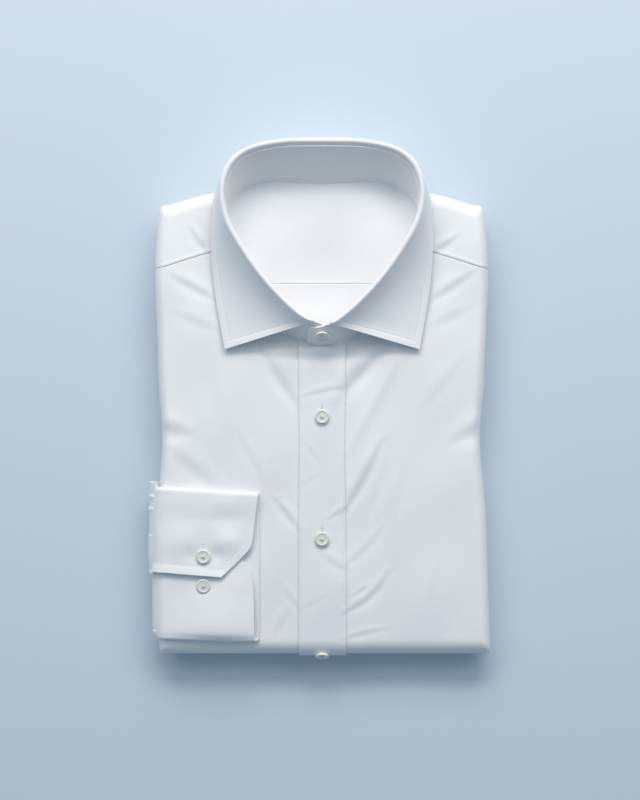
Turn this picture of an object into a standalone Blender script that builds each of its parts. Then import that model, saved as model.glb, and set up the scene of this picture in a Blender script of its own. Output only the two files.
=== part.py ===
"""A men's long-sleeved dress shirt, buttoned and folded flat for the shelf, with its collar
standing and one cuff turned over the front.

X runs across the chest, Y from the bottom fold to the collar, and Z up from the table.
Every cloth piece is a wall on, or moved out from, one folded form: a slab whose top carries
the chest and whose four sides are the noses of the folds. The form is read by two
coordinates, S across and T along. On its flat top S runs from -1 to 1 and T from 0 to 1.
Past these the cloth turns down a nose, where 1.5 is the outermost point and 2 lies below.
"""

import math

import bmesh
import bpy
from mathutils import Vector

MM = 0.001  # the sizes below are in millimetres, and a mesh is in metres

# Driving sizes.
MIDDLE = Vector((-0.55, 3.1, 0.0))  # brings the middle of the shirt's box over the origin
FRONT_LINE_X = 1.6  # the buttons' line
BOTTOM_Y = -195.3  # outermost point of the bottom fold
TOP_Y = 166.0  # outermost point of the top fold, behind the collar
SHOULDER_DROP = 16.0  # how much lower the top fold lies at the sides
SHOULDER_HALF = 124.0
SHOULDER_POWER = 2.6
SIDE_NOSE = 8.0  # how far each fold's nose reaches past the flat top
BOTTOM_NOSE = 12.0
TOP_NOSE = 11.0
FOLD_LOW_Z = 5.6  # underside of the front's own fold, above the folded sleeves and tail
CORNER_POWER = 5.0  # 2 is a round corner in plan, and higher is squarer
CLOTH = 1.2  # wall of one panel, with its turned seams
GAP = 0.35
NOSE_TURNS = (0.1, 0.22, 0.36, 0.5, 0.66, 0.84)  # a panel's rows round a nose, in half turns

# Half widths of the fold, from the buttons' line to each edge.
OUTLINE = (  # y, left, right
    (-196.0, 125.4, 129.8),
    (-150.0, 126.6, 128.2),
    (-90.0, 126.8, 126.2),
    (-31.0, 123.2, 121.6),
    (10.0, 125.6, 124.4),
    (54.0, 127.0, 126.2),
    (98.0, 128.6, 127.8),
    (128.0, 127.2, 126.2),
    (150.0, 124.8, 123.4),
)
THICKNESS = (  # y, height of the flat top
    (-196.0, 25.0),
    (-140.0, 26.6),
    (-40.0, 28.0),
    (60.0, 29.5),
    (120.0, 29.5),
    (166.0, 27.5),
)

# The folds that stand up or sink on the front, each along a straight run.
CREASES = (  # x0, y0, x1, y1, half width, height
    (20.0, 36.0, 62.0, 20.0, 13.0, -1.6),
    (-20.0, 36.0, -58.0, 22.0, 13.0, -1.5),
    (-24.0, 0.0, -70.0, 44.0, 12.0, -1.6),
    (24.0, -76.0, 54.0, -26.0, 9.0, -1.8),
    (54.0, -26.0, 78.0, 34.0, 12.0, -1.1),
    (34.0, -60.0, 76.0, 26.0, 13.0, 1.0),
    (22.0, -118.0, 58.0, -88.0, 9.0, -1.1),
    (22.0, -156.0, 48.0, -134.0, 8.0, -1.5),
    (24.0, -186.0, 50.0, -174.0, 8.0, -1.2),
    (84.0, -160.0, 96.0, -118.0, 11.0, -0.9),
    (-22.0, -92.0, -36.0, -74.0, 8.0, -1.2),
    (-20.0, -150.0, -32.0, -136.0, 8.0, -1.6),
    (-84.0, 80.0, -116.0, 90.0, 9.0, -1.4),
    (84.0, 80.0, 114.0, 92.0, 9.0, -1.4),
    (-86.0, 116.0, -100.0, 134.0, 7.0, -1.4),
    (86.0, 116.0, 98.0, 132.0, 7.0, -1.2),
    (-114.0, -24.0, -128.0, -10.0, 9.0, -3.2),
    (112.0, -24.0, 128.0, -10.0, 9.0, -3.2),
)
CREASE_TAPER = 0.35  # share of a crease's run over which each end fades

# The collar, from the centre back to the centre front, for one half. The neck is the seam on
# the body, the roll is the collar's top fold, and the edge is the free edge of the fall. The
# bow is how far the fall lifts above the straight line from its roll to its edge.
COLLAR = (  # neck_x, neck_y, roll_x, roll_y, roll_z, edge_x, edge_y, edge_z, bow
    (0.0, 163.0, 0.0, 191.0, 56.0, 0.0, 176.0, 15.0, 2.0),
    (26.0, 163.2, 30.0, 190.2, 56.0, 33.0, 175.5, 15.5, 2.0),
    (48.0, 161.6, 55.0, 185.0, 56.0, 61.0, 173.5, 19.0, 2.0),
    (63.0, 156.5, 69.0, 174.0, 55.5, 76.0, 169.0, 25.0, 1.5),
    (71.5, 146.0, 74.0, 157.0, 55.0, 81.5, 156.0, 30.6, 1.0),
    (74.3, 129.0, 71.0, 139.0, 54.0, 83.4, 133.0, 33.0, 0.5),
    (74.0, 110.0, 62.0, 121.0, 53.0, 83.6, 109.0, 33.4, -0.5),
    (62.0, 86.0, 45.5, 96.0, 51.5, 81.5, 84.0, 33.2, -1.5),
    (42.0, 63.0, 28.0, 76.0, 50.5, 78.0, 61.0, 33.0, -2.0),
    (21.0, 47.5, 11.0, 61.0, 49.6, 75.4, 46.5, 32.8, -2.0),
    (0.0, 42.0, 0.0, 57.5, 48.6, 72.6, 30.5, 32.4, -2.0),
)
CENTRE_FRONT = len(COLLAR) - 1.0
FALL_ENDS = 9.5  # the station where the fall's front edge leaves the stand
NECK_X, NECK_Y, ROLL_X, ROLL_Y, ROLL_Z, EDGE_X, EDGE_Y, EDGE_Z, BOW = range(9)
SEAM_STATION = 5.5  # where the shoulder seam meets the neck
STAND_WALL = 1.6
FALL_WALL = 1.6
FALL_START = 4.5  # the fall is sewn to the stand this far below the roll
ROLL_RADIUS = 2.4
ROLL_END_RADIUS = 1.5  # the roll tightens to this at the front
STAND_TIP_DROP = 0.6  # the stand's top lies this far below the roll line beside the fall
STAND_TIP_SLOPE = 0.34  # and drops this much for each millimetre on towards its end
NECK_INSET = 0.9  # the body's neck edge lies this far inside the collar's seam
OVERLAP = 11.0  # each end of the stand runs this far past the buttons' line
OVERLAP_APART = 2.3  # distance between the two lapped ends, middle to middle

SEAM_SIDE_DROP = 20.0  # the shoulder seam's fall from the neck to the side
YOKE_SEAM_Y = 89.0  # the yoke's seam on the back, seen through the neck
LINING_HALF = 84.0
LINING_CREST = 0.24  # the yoke's lining ends this far over the top fold, in half turns
BACK_LOW_Y = 34.0
WELL_DEPTH = 6.0  # how far the back sinks below the open neck
WELL_CENTRE_Y = 88.0
WELL_HALF = (88.0, 78.0)

PLACKET_WIDTH = 35.6
PLACKET_TOP_Y = 40.4
PLACKET_TOP_RISE = 4.6  # how much higher its top corners reach, along the neck seam
PLACKET_WRAP = 0.9  # share of the fronts' turn under the bottom fold

CUFF_PLY = 1.3
CUFF_GAP = 0.45
CUFF_SEAM_TURN = 0.4  # the cuff reaches this far round the side nose, in half turns
CUFF_BACK_X = -48.0
CUFF_FLAP = (  # y at the sleeve, y at the cut edge, x of the cut edge
    (-131.2, -134.8, -76.7),
    (-120.5, -124.2, -65.4),
    (-107.5, -113.2, -55.0),
    (-101.0, -107.0, -52.8),
    (-88.0, -94.0, -51.2),
    (-76.0, -82.0, -49.8),
    (-66.4, -72.0, -48.6),
)
CUFF_UNDERLAP = (  # y at the sleeve, y at the cut edge, x of the cut edge
    (-180.6, -182.6, -51.4),
    (-164.0, -165.0, -52.0),
    (-148.0, -148.0, -52.4),
    (-137.0, -137.0, -53.2),
    (-128.0, -128.0, -56.4),
    (-120.0, -120.0, -63.0),
    (-111.0, -111.0, -74.0),
)
SLEEVE_GAP_TURN = 0.04
SLEEVE_PLY = 2.6
SLEEVE_WRAP = 0.74
SLEEVE_LOW_Y = -180.0
SLEEVE_HIGH_Y = -66.0
SLEEVE_PLEATS = (  # y, how far the gathered sleeve swells past the cuff
    (-180.0, 0.0),
    (-172.0, 0.6),
    (-136.0, 0.4),
    (-131.5, 1.2),
    (-110.0, 1.4),
    (-105.5, 0.5),
    (-87.0, 0.6),
    (-83.0, 1.5),
    (-66.0, 2.4),
)

BUTTON_RADIUS = 5.4
BUTTON_HEIGHT = 2.6
BUTTON_RIM = 1.2
BUTTON_DISH = 0.7
BUTTON_SIDES = 16
PLACKET_BUTTONS_Y = (-12.6, -106.0)
CUFF_BUTTONS_Y = (-119.0, -141.6)
CUFF_BUTTON_X = -90.4
COLLAR_BUTTON_Z = 41.0
LOW_BUTTON_TURN = 0.37  # place of the lowest button round the bottom nose, in half turns

SHIRT_WHITE = (0.86, 0.88, 0.91, 1.0)
PEARL = (0.84, 0.85, 0.80, 1.0)


# ---------------------------------------------------------------- curves through the tables


def smooth(values, at):
    """The value at place `at` on a smooth curve through the values of stations 0, 1, 2 ..."""
    last = len(values) - 1
    i = min(max(int(math.floor(at)), 0), last - 1)
    f = at - i
    a, b = values[i], values[i + 1]
    before = values[i - 1] if i > 0 else 2 * a - b
    after = values[i + 2] if i + 2 <= last else 2 * b - a
    m0, m1 = (b - before) / 2, (after - a) / 2
    return (
        (2 * f**3 - 3 * f**2 + 1) * a
        + (f**3 - 2 * f**2 + f) * m0
        + (3 * f**2 - 2 * f**3) * b
        + (f**3 - f**2) * m1
    )


def read_table(table, column, key):
    """A table's column at a key between its rows, on a smooth curve."""
    keys = [row[0] for row in table]
    key = min(max(key, keys[0]), keys[-1])
    i = max(j for j in range(len(keys) - 1) if keys[j] <= key)
    at = i + (key - keys[i]) / (keys[i + 1] - keys[i])
    return smooth([row[column] for row in table], at)


def ease(x):
    """0 below 0, 1 above 1, and smooth between."""
    x = min(max(x, 0.0), 1.0)
    return x * x * (3 - 2 * x)


# ---------------------------------------------------------------- the folded form


def half_width(y, side):
    return read_table(OUTLINE, 1 if side < 0 else 2, y)


def top_y(x):
    return TOP_Y - SHOULDER_DROP * (abs(x) / SHOULDER_HALF) ** SHOULDER_POWER


def crease_height(x, y):
    """How far the creases lift or sink the front at a place on its top."""
    total = 0.0
    for x0, y0, x1, y1, width, height in CREASES:
        along, across = x1 - x0, y1 - y0
        length = math.hypot(along, across)
        share = ((x - x0) * along + (y - y0) * across) / length**2
        near = min(max(share, 0.0), 1.0)
        away = math.hypot(x - x0 - near * along, y - y0 - near * across) / width
        fade = 0.45 + 0.55 * ease(near / CREASE_TAPER) * ease((1 - near) / CREASE_TAPER)
        total += height * fade * math.exp(-away * away * 1.6)
    return total


def nose_direction(a, b):
    """(turn, x share, y share) at a turns round the side nose and b round the end nose."""
    turn = max(a, b)
    if turn <= 0:
        return 0.0, 0.0, 0.0
    angle = math.pi / 4 * (b / a if a >= b else 2 - a / b)
    x, y = math.cos(angle), math.sin(angle)
    norm = (x**CORNER_POWER + y**CORNER_POWER) ** (1 / CORNER_POWER)
    return turn, x / norm, y / norm


def form(s, t):
    """The point of the folded form at S and T."""
    side = -1 if s < 0 else 1
    across = min(abs(s), 1.0)
    low = BOTTOM_Y + BOTTOM_NOSE
    high = top_y(across * SHOULDER_HALF) - TOP_NOSE
    end, past = (TOP_NOSE, t - 1) if t > 0.5 else (-BOTTOM_NOSE, -t)
    turn, x_share, y_share = nose_direction(
        max(abs(s) - 1, 0.0) * math.pi, max(past, 0.0) * math.pi
    )
    y = low + (high - low) * min(max(t, 0.0), 1.0) + end * math.sin(turn) * y_share
    flat = half_width(y, side) - SIDE_NOSE
    x = side * (flat * across + SIDE_NOSE * math.sin(turn) * x_share)
    top = read_table(THICKNESS, 1, y)
    half = (top - FOLD_LOW_Z) / 2
    z = FOLD_LOW_Z + half * (1 + math.cos(turn))
    z += crease_height(x, y) * max(math.cos(turn), 0.0)
    return Vector((FRONT_LINE_X + x, y, z))


STEP = 1e-3  # of S or T, for the form's slope


def out(s, t, offset=0.0):
    """The form's point moved out along its normal, or in where offset is negative."""
    across = form(s + STEP, t) - form(s - STEP, t)
    along = form(s, t + STEP) - form(s, t - STEP)
    return form(s, t) + offset * across.cross(along).normalized()


def top_place(x, y):
    """S and T of a place seen from above, with x from the buttons' line."""
    side = -1 if x < 0 else 1
    s = x / (half_width(y, side) - SIDE_NOSE)
    low = BOTTOM_Y + BOTTOM_NOSE
    high = top_y(s * SHOULDER_HALF) - TOP_NOSE
    if y > high:
        return s, 1 + math.asin(min((y - high) / TOP_NOSE, 1.0)) / math.pi
    return s, (y - low) / (high - low)


def height_at(x, y):
    """Height of the front's outer face over a place on the flat top."""
    return form(*top_place(x, y)).z


# ---------------------------------------------------------------- making objects


def material(name, colour, roughness):
    made = bpy.data.materials.new(name)
    made.use_nodes = True
    shader = made.node_tree.nodes["Principled BSDF"]
    shader.inputs["Base Color"].default_value = colour
    shader.inputs["Roughness"].default_value = roughness
    made.diffuse_color = colour
    return made


def object_of(name, mesh, finish):
    made = bpy.data.objects.new(name, mesh)
    bpy.context.scene.collection.objects.link(made)
    mesh.materials.append(finish)
    mesh.shade_smooth()
    mesh.set_sharp_from_angle(angle=math.radians(50))
    return made


def grid_mesh(name, columns, rows, place):
    """A bmesh grid whose vertex at column i and row j lies at place(i, j), in millimetres."""
    bm = bmesh.new()
    bmesh.ops.create_grid(bm, x_segments=columns, y_segments=rows, size=1)
    for vert in bm.verts:
        i = round((vert.co.x + 1) / 2 * columns)
        j = round((vert.co.y + 1) / 2 * rows)
        vert.co = (place(i, j) + MIDDLE) * MM
    mesh = bpy.data.meshes.new(name)
    bm.to_mesh(mesh)
    bm.free()
    return mesh


def cloth(name, columns, rows, place, wall, finish, offset=-1.0):
    """A cloth wall on a grid. Offset -1 thickens it inwards, 1 outwards and 0 both ways."""
    made = object_of(name, grid_mesh(name, columns, rows, place), finish)
    solid = made.modifiers.new("Wall", "SOLIDIFY")
    solid.thickness = wall * MM
    solid.offset = offset
    return made


def spread(start, end, count):
    return [start + (end - start) * i / (count - 1) for i in range(count)]


# ---------------------------------------------------------------- neck and seams of the body


def collar_value(column, station):
    return smooth([row[column] for row in COLLAR], station)


def neck_edge(station):
    """x and y of the body's neck edge, a little inside the collar's seam."""
    x, y = collar_value(NECK_X, station), collar_value(NECK_Y, station)
    ahead = min(station + 0.05, CENTRE_FRONT)
    behind = max(station - 0.05, 0.0)
    run = Vector(
        (
            collar_value(NECK_X, ahead) - collar_value(NECK_X, behind),
            collar_value(NECK_Y, ahead) - collar_value(NECK_Y, behind),
        )
    ).normalized()
    return x + run.y * NECK_INSET, y - run.x * NECK_INSET


def seam_y(x):
    """The shoulder seam, from the neck out to the side."""
    start_x, start_y = neck_edge(SEAM_STATION)
    share = (abs(x) - start_x) / (128.0 - start_x)
    return start_y - SEAM_SIDE_DROP * share**1.4


def neck_columns(stations):
    """(S, T) of the neck edge at each station."""
    return [top_place(*neck_edge(station)) for station in stations]


def shoulder_columns(count):
    """(S, T) along the shoulder seam, past the neck and round the side nose."""
    start_x, _ = neck_edge(SEAM_STATION)
    places = []
    for x in spread(start_x, half_width(100.0, 1) - SIDE_NOSE, count)[1:]:
        places.append(top_place(x, seam_y(x)))
    edge_t = places[-1][1]
    return places + [(1 + turn, edge_t - 0.008 * turn) for turn in NOSE_TURNS]


def front_panel(name, side, finish):
    """One front: from the buttons' line to the side, and from the shoulder seam to the
    bottom fold, turned round both noses."""
    neck = neck_columns(spread(CENTRE_FRONT, SEAM_STATION, 9))
    neck[0] = (GAP / 2 / 120.0, neck[0][1])
    columns = neck + shoulder_columns(5)
    if side < 0:
        columns = [(-s, t) for s, t in reversed(columns)]
    rows = [-turn for turn in reversed(NOSE_TURNS)] + spread(0.0, 1.0, 22)
    seam_gap = GAP / 2 / 340.0

    def place(i, j):
        s, t_end = columns[i]
        t = rows[j] if rows[j] < 0 else rows[j] * (t_end - seam_gap)
        return out(s, t)

    return cloth(name, len(columns) - 1, len(rows) - 1, place, CLOTH, finish)


def yoke(finish):
    """The yoke: over both shoulders and the top fold, with the neck cut out of it."""
    neck = neck_columns(spread(0.0, SEAM_STATION, 9))
    half = neck + shoulder_columns(5)
    columns = [(-s, t) for s, t in reversed(half[1:])] + half
    rows = spread(0.9, 1.0, 7) + [1 + turn for turn in NOSE_TURNS]
    seam_gap = GAP / 2 / 340.0

    def place(i, j):
        s, t_start = columns[i]
        start, end = t_start + seam_gap, rows[-1]
        share = (rows[j] - rows[0]) / (end - rows[0])
        even = start + (end - start) * share
        by_nose = rows[j]
        if rows[j] < 1:
            by_nose = start + (1 - start) * (rows[j] - rows[0]) / (1 - rows[0])
        return out(s, even + (by_nose - even) * ease((abs(s) - 0.62) / 0.2))

    return cloth("yoke", len(columns) - 1, len(rows) - 1, place, CLOTH, finish)


# ---------------------------------------------------------------- inside the neck


def well(x, y):
    """How far the back sinks under the open neck, 0 outside it."""
    away = math.hypot(x / WELL_HALF[0], (y - WELL_CENTRE_Y) / WELL_HALF[1])
    return WELL_DEPTH * (1 - ease(away))


def inner_sheet(name, low_y, high_y, rows, finish):
    """A piece of the back's inside, one wall under the fronts and the yoke. It runs between
    two heights on the page, or over the top fold's crest where the higher is None."""

    def place(i, j):
        x = -LINING_HALF + 2 * LINING_HALF * i / 14
        s, low = top_place(x, low_y)
        high = 1.0 if high_y is None else top_place(x, high_y)[1]
        t = low + (high - low) * min(j / rows, 1.0)
        if j > rows:
            t += LINING_CREST * (j - rows) / 3
        point = out(s, t, -CLOTH - GAP)
        point.z -= well(point.x - FRONT_LINE_X, point.y)
        return point

    past = 3 if high_y is None else 0
    return cloth(name, 14, rows + past, place, CLOTH, finish)


# ---------------------------------------------------------------- hidden layers


CORE_INSET = CLOTH + GAP
CORE_TURNS = NOSE_TURNS[:-1] + (0.8,)
FRONT_ROOM = 0.7
CREASE_ROOM = 0.5  # extra room under the front, as a share of each crease's height
RIDGES = (  # how far in from the fold's edge, as a share of its nose, and z
    (0.80, 7.2),
    (0.76, 5.3),
    (0.22, 4.8),
    (0.16, 3.7),
    (0.38, 2.9),
    (0.18, 2.1),
    (0.24, 0.6),
    (0.46, 0.0),
)


def hidden_layers(finish):
    """The folded sleeves, back and tail as one rounded solid with layered edges. Its flat
    underside is what the shirt rests on."""
    half = neck_columns(spread(CENTRE_FRONT, SEAM_STATION, 6)) + shoulder_columns(5)[:-6]
    half = [s for s, t in half] + [1 + turn for turn in CORE_TURNS]
    s_line = [-s for s in reversed(half[1:])] + half
    t_line = [-turn for turn in reversed(CORE_TURNS)] + spread(0.0, 0.6, 14)
    t_line += spread(0.63, 1.0, 10) + [1 + turn for turn in CORE_TURNS]

    def place(i, j):
        s, t = s_line[i], t_line[j]
        point = form(s, t)
        x, y = point.x - FRONT_LINE_X, point.y
        room = ease((LINING_HALF + 18 - abs(x)) / 14) * ease((y - BACK_LOW_Y + 18) / 14)
        if t > 1:
            room *= ease((1.5 - t) / 0.12)
        depth = CORE_INSET + (CLOTH + 1.6 * GAP) * room
        depth += CREASE_ROOM * abs(crease_height(x, y)) + FRONT_ROOM * (1 - room)
        point = out(s, t, -depth)
        point.z -= well(x, y) * room
        return point

    columns = len(s_line)
    mesh = grid_mesh("folded_layers", columns - 1, len(t_line) - 1, place)
    bm = bmesh.new()
    bm.from_mesh(mesh)
    bm.verts.ensure_lookup_table()
    rim = {}
    for vert in bm.verts:
        if vert.is_boundary:
            rim[vert] = (s_line[vert.index % columns], t_line[vert.index // columns])
    edges = [edge for edge in bm.edges if edge.is_boundary]
    for inset, z in RIDGES:
        made = bmesh.ops.extrude_edge_only(bm, edges=edges)["geom"]
        below = {}
        for vert in [item for item in made if isinstance(item, bmesh.types.BMVert)]:
            above = next(
                edge.other_vert(vert) for edge in vert.link_edges if edge.other_vert(vert) in rim
            )
            below[vert] = rim[above]
            vert.co = (ridge_point(*rim[above], inset, z) + MIDDLE) * MM
        edges = [item for item in made if isinstance(item, bmesh.types.BMEdge)]
        edges = [edge for edge in edges if edge.verts[0] in below and edge.verts[1] in below]
        rim = below
    bmesh.ops.contextual_create(bm, geom=edges)
    bmesh.ops.triangulate(bm, faces=[face for face in bm.faces if len(face.verts) > 4])
    bmesh.ops.recalc_face_normals(bm, faces=bm.faces)
    bm.to_mesh(mesh)
    bm.free()
    return object_of("folded_layers", mesh, finish)


def ridge_point(s, t, inset, z):
    """A point at height z under the rim, in from the fold's edge by a share of the nose."""
    turn = math.asin(1 - inset) / math.pi / CORE_TURNS[-1]
    if abs(s) > 1:
        s = math.copysign(1 + (abs(s) - 1) * turn, s)
    if t > 1:
        t = 1 + (t - 1) * turn
    if t < 0:
        t = t * turn
    point = form(s, t)
    return Vector((point.x, point.y, z))


# ---------------------------------------------------------------- placket


def placket(finish):
    """The button band, laid on the fronts and turned round the bottom fold."""
    half = PLACKET_WIDTH / 2
    rows = [-turn * PLACKET_WRAP for turn in reversed(NOSE_TURNS)] + spread(0.0, 1.0, 26)

    def place(i, j):
        x = -half + PLACKET_WIDTH * i / 4
        s, t_top = top_place(x, PLACKET_TOP_Y + PLACKET_TOP_RISE * (x / half) ** 2)
        t = rows[j] if rows[j] < 0 else rows[j] * t_top
        return out(s, t, GAP)

    return cloth("placket", 4, len(rows) - 1, place, CLOTH, finish, offset=1.0)


# ---------------------------------------------------------------- collar


def neck_point(station, side):
    x, y = collar_value(NECK_X, station), collar_value(NECK_Y, station)
    return out(*top_place(side * x, y), GAP + STAND_WALL * 0.55)


def roll_point(station, side):
    x = collar_value(ROLL_X, station)
    return Vector(
        (FRONT_LINE_X + side * x, collar_value(ROLL_Y, station), collar_value(ROLL_Z, station))
    )


def edge_point(station, side):
    x = collar_value(EDGE_X, station)
    return Vector(
        (FRONT_LINE_X + side * x, collar_value(EDGE_Y, station), collar_value(EDGE_Z, station))
    )


def both_sides(half):
    """(station, side) from one front end round the back to the other."""
    return [(at, -1) for at in reversed(half[1:])] + [(at, 1) for at in half]


def stand_frame(station, side):
    """Foot and top of the collar at a station, the way up it and the way out of it. Near the
    front the two ends part, so that the left one can lap over the right one."""
    foot, roll = neck_point(station, side), roll_point(station, side)
    rise = (roll - foot).normalized()
    front = Vector((0.0, -rise.z, rise.y))
    lap = front * (side * OVERLAP_APART / 2 * ease((station - CENTRE_FRONT + 1.4) / 1.1))
    return foot + lap, roll + lap, rise, front


def stand(finish):
    """The neckband: it rises from the neck seam to just under the roll, and its left end
    laps over its right end at the button."""
    half = spread(0.0, FALL_ENDS, 20) + [FALL_ENDS + 0.1, CENTRE_FRONT]
    rings = [(station, side, 0.0) for station, side in both_sides(half)]
    past = (OVERLAP * 0.5, OVERLAP)
    rings = [(CENTRE_FRONT, -1, x) for x in reversed(past)] + rings
    rings += [(CENTRE_FRONT, 1, x) for x in past]

    def place(i, j):
        station, side, past_x = rings[i]
        foot, roll, rise, _ = stand_frame(station, side)
        below = FALL_START + GAP
        if station > FALL_ENDS:
            from_fall = collar_value(ROLL_X, FALL_ENDS) - collar_value(ROLL_X, station) + past_x
            below = STAND_TIP_DROP + STAND_TIP_SLOPE * from_fall
        point = foot.lerp(roll - rise * below, j / 4)
        return point + Vector((-side * past_x, 0.02 * past_x**2, 0.0))

    ends = len(rings) - 1
    return cloth("collar_stand", ends, 4, place, STAND_WALL, finish, offset=0.0)


def fall(finish):
    """The collar's fall: sewn inside the top of the stand, rolled over and turned down."""
    around = both_sides(spread(0.0, FALL_ENDS, 20))
    roll_rows = 4
    rows = roll_rows + 6

    def place(i, j):
        station, side = around[i]
        _, roll, rise, _ = stand_frame(station, side)
        edge = edge_point(station, side)
        outward = edge - roll
        outward = (outward - rise * outward.dot(rise)).normalized()
        radius = ROLL_RADIUS + (ROLL_END_RADIUS - ROLL_RADIUS) * ease(station - FALL_ENDS + 1)
        centre = roll + (outward - rise) * radius
        if j == 0:
            return roll - rise * FALL_START
        turn = math.pi * 0.9 * min((j - 1) / roll_rows, 1.0)
        leave = centre + radius * (rise * math.sin(turn) - outward * math.cos(turn))
        share = max((j - 1 - roll_rows) / (rows - 1 - roll_rows), 0.0)
        bow = collar_value(BOW, station) * math.sin(math.pi * share)
        return leave.lerp(edge, share) + Vector((0.0, 0.0, bow))

    return cloth("collar_fall", len(around) - 1, rows, place, FALL_WALL, finish, offset=0.0)


# ---------------------------------------------------------------- cuff and sleeve


def cuff_section():
    """(y at the sleeve, y at the cut edge, x of the cut edge, offset) round the cuff's flat
    tube, from the flap's end to the underlap's end."""
    pitch = CUFF_PLY + CUFF_GAP
    back = GAP + CUFF_PLY / 2
    under, flap = back + pitch, back + 2 * pitch
    high, low = CUFF_FLAP[-1], CUFF_UNDERLAP[0]
    section = [row + (flap,) for row in CUFF_FLAP]
    for turn in (0.25, 0.5, 0.75):
        up, bulge = math.cos(math.pi * turn), pitch * math.sin(math.pi * turn)
        section.append((high[0] + bulge, high[1] + bulge, CUFF_BACK_X, under + pitch * up))
    for share in spread(0.0, 1.0, 12):
        y, cut_y = (a + (b - a) * share for a, b in zip(high[:2], low[:2]))
        section.append((y, cut_y, CUFF_BACK_X, back))
    for turn in (0.33, 0.67):
        up, bulge = 1 - math.cos(math.pi * turn), pitch * math.sin(math.pi * turn)
        cut_x = CUFF_BACK_X + (low[2] - CUFF_BACK_X) * up / 2
        section.append((low[0] - bulge, low[1] - bulge, cut_x, back + pitch / 2 * up))
    return section + [row + (under,) for row in CUFF_UNDERLAP]


def cuff(finish):
    """The right cuff: one interlined piece wound to a flat tube, its cut flap buttoned down."""
    section = cuff_section()
    turns = (CUFF_SEAM_TURN, 0.22, 0.1)
    across = 8

    def place(i, j):
        y, cut_y, cut_x, offset = section[j]
        share = (i - len(turns)) / across
        start = SIDE_NOSE - half_width(y, -1)
        x = start + (cut_x - start) * max(share, 0.0)
        s, t = top_place(x, y + (cut_y - y) * max(share, 0.0))
        if share < 0:
            s = -1 - turns[i]
        return out(s, t, offset)

    columns = len(turns) + across
    return cloth("cuff", columns, len(section) - 1, place, CUFF_PLY, finish, offset=0.0)


def sleeve(finish):
    """The right sleeve, flat, from the cuff round the side of the fold and in under it."""
    turns = spread(SLEEVE_WRAP, CUFF_SEAM_TURN + SLEEVE_GAP_TURN, 6)

    def place(i, j):
        y = SLEEVE_LOW_Y + (SLEEVE_HIGH_Y - SLEEVE_LOW_Y) * j / 26
        _, t = top_place(SIDE_NOSE - half_width(y, -1), y)
        swell = read_table(SLEEVE_PLEATS, 1, y) * math.sin(math.pi * (1 - i / 8))
        return out(-1 - turns[i], t, GAP + swell)

    return cloth("sleeve", len(turns) - 1, 26, place, SLEEVE_PLY, finish, offset=1.0)


# ---------------------------------------------------------------- buttons


def button(name, centre, facing, finish):
    """A pearl button: a turned disc with a raised rim and a dished middle."""
    profile = (
        (0.0, 0.0),
        (BUTTON_RADIUS * 0.7, 0.0),
        (BUTTON_RADIUS, BUTTON_HEIGHT * 0.45),
        (BUTTON_RADIUS - 0.3, BUTTON_HEIGHT * 0.9),
        (BUTTON_RADIUS - BUTTON_RIM * 0.6, BUTTON_HEIGHT),
        (BUTTON_RADIUS - BUTTON_RIM * 1.4, BUTTON_HEIGHT - BUTTON_DISH),
        (0.0, BUTTON_HEIGHT - BUTTON_DISH),
    )
    bm = bmesh.new()
    verts = [bm.verts.new(Vector((radius, 0.0, z)) * MM) for radius, z in profile]
    for a, b in zip(verts, verts[1:]):
        bm.edges.new((a, b))
    bmesh.ops.spin(
        bm,
        geom=bm.verts[:] + bm.edges[:],
        axis=(0, 0, 1),
        cent=(0, 0, 0),
        angle=math.tau,
        steps=BUTTON_SIDES,
        use_merge=True,
    )
    bmesh.ops.remove_doubles(bm, verts=bm.verts, dist=1e-6)
    bmesh.ops.recalc_face_normals(bm, faces=bm.faces)
    mesh = bpy.data.meshes.new(name)
    bm.to_mesh(mesh)
    bm.free()
    made = object_of(name, mesh, finish)
    made.rotation_mode = "QUATERNION"
    made.rotation_quaternion = facing.to_track_quat("Z", "Y")
    made.location = (centre + MIDDLE) * MM
    return made


def normal_at(s, t):
    return (out(s, t, 1.0) - out(s, t, 0.0)).normalized()


def buttons(finish):
    over_placket = 2 * GAP + CLOTH
    for number, y in enumerate(PLACKET_BUTTONS_Y, start=1):
        s, t = top_place(0.0, y)
        button(f"button_front_{number}", out(s, t, over_placket), normal_at(s, t), finish)
    t = -LOW_BUTTON_TURN
    button("button_bottom_fold", out(0.0, t, over_placket), normal_at(0.0, t), finish)
    back = GAP + CUFF_PLY / 2
    pitch = CUFF_PLY + CUFF_GAP
    for number, (y, layers) in enumerate(zip(CUFF_BUTTONS_Y, (2, 1)), start=1):
        s, t = top_place(CUFF_BUTTON_X, y)
        offset = back + pitch * layers + CUFF_PLY / 2 + GAP
        button(f"button_cuff_{number}", out(s, t, offset), normal_at(s, t), finish)
    foot, roll, _, facing = stand_frame(CENTRE_FRONT, 1)
    share = (COLLAR_BUTTON_Z - foot.z) / (roll.z - foot.z)
    face = foot.lerp(roll, share) + facing * (STAND_WALL / 2 + GAP)
    button("button_collar", face, facing, finish)


# ---------------------------------------------------------------- the shirt


def build():
    for old in list(bpy.data.objects):
        bpy.data.objects.remove(old)
    poplin = material("white_poplin", SHIRT_WHITE, 0.8)
    pearl = material("pearl_button", PEARL, 0.25)
    hidden_layers(poplin)
    inner_sheet("yoke_lining", YOKE_SEAM_Y + GAP / 2, None, 6, poplin)
    inner_sheet("back", BACK_LOW_Y, YOKE_SEAM_Y - GAP / 2, 4, poplin)
    front_panel("front_left", 1, poplin)
    front_panel("front_right", -1, poplin)
    yoke(poplin)
    placket(poplin)
    stand(poplin)
    fall(poplin)
    cuff(poplin)
    sleeve(poplin)
    buttons(pearl)


build()
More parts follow.
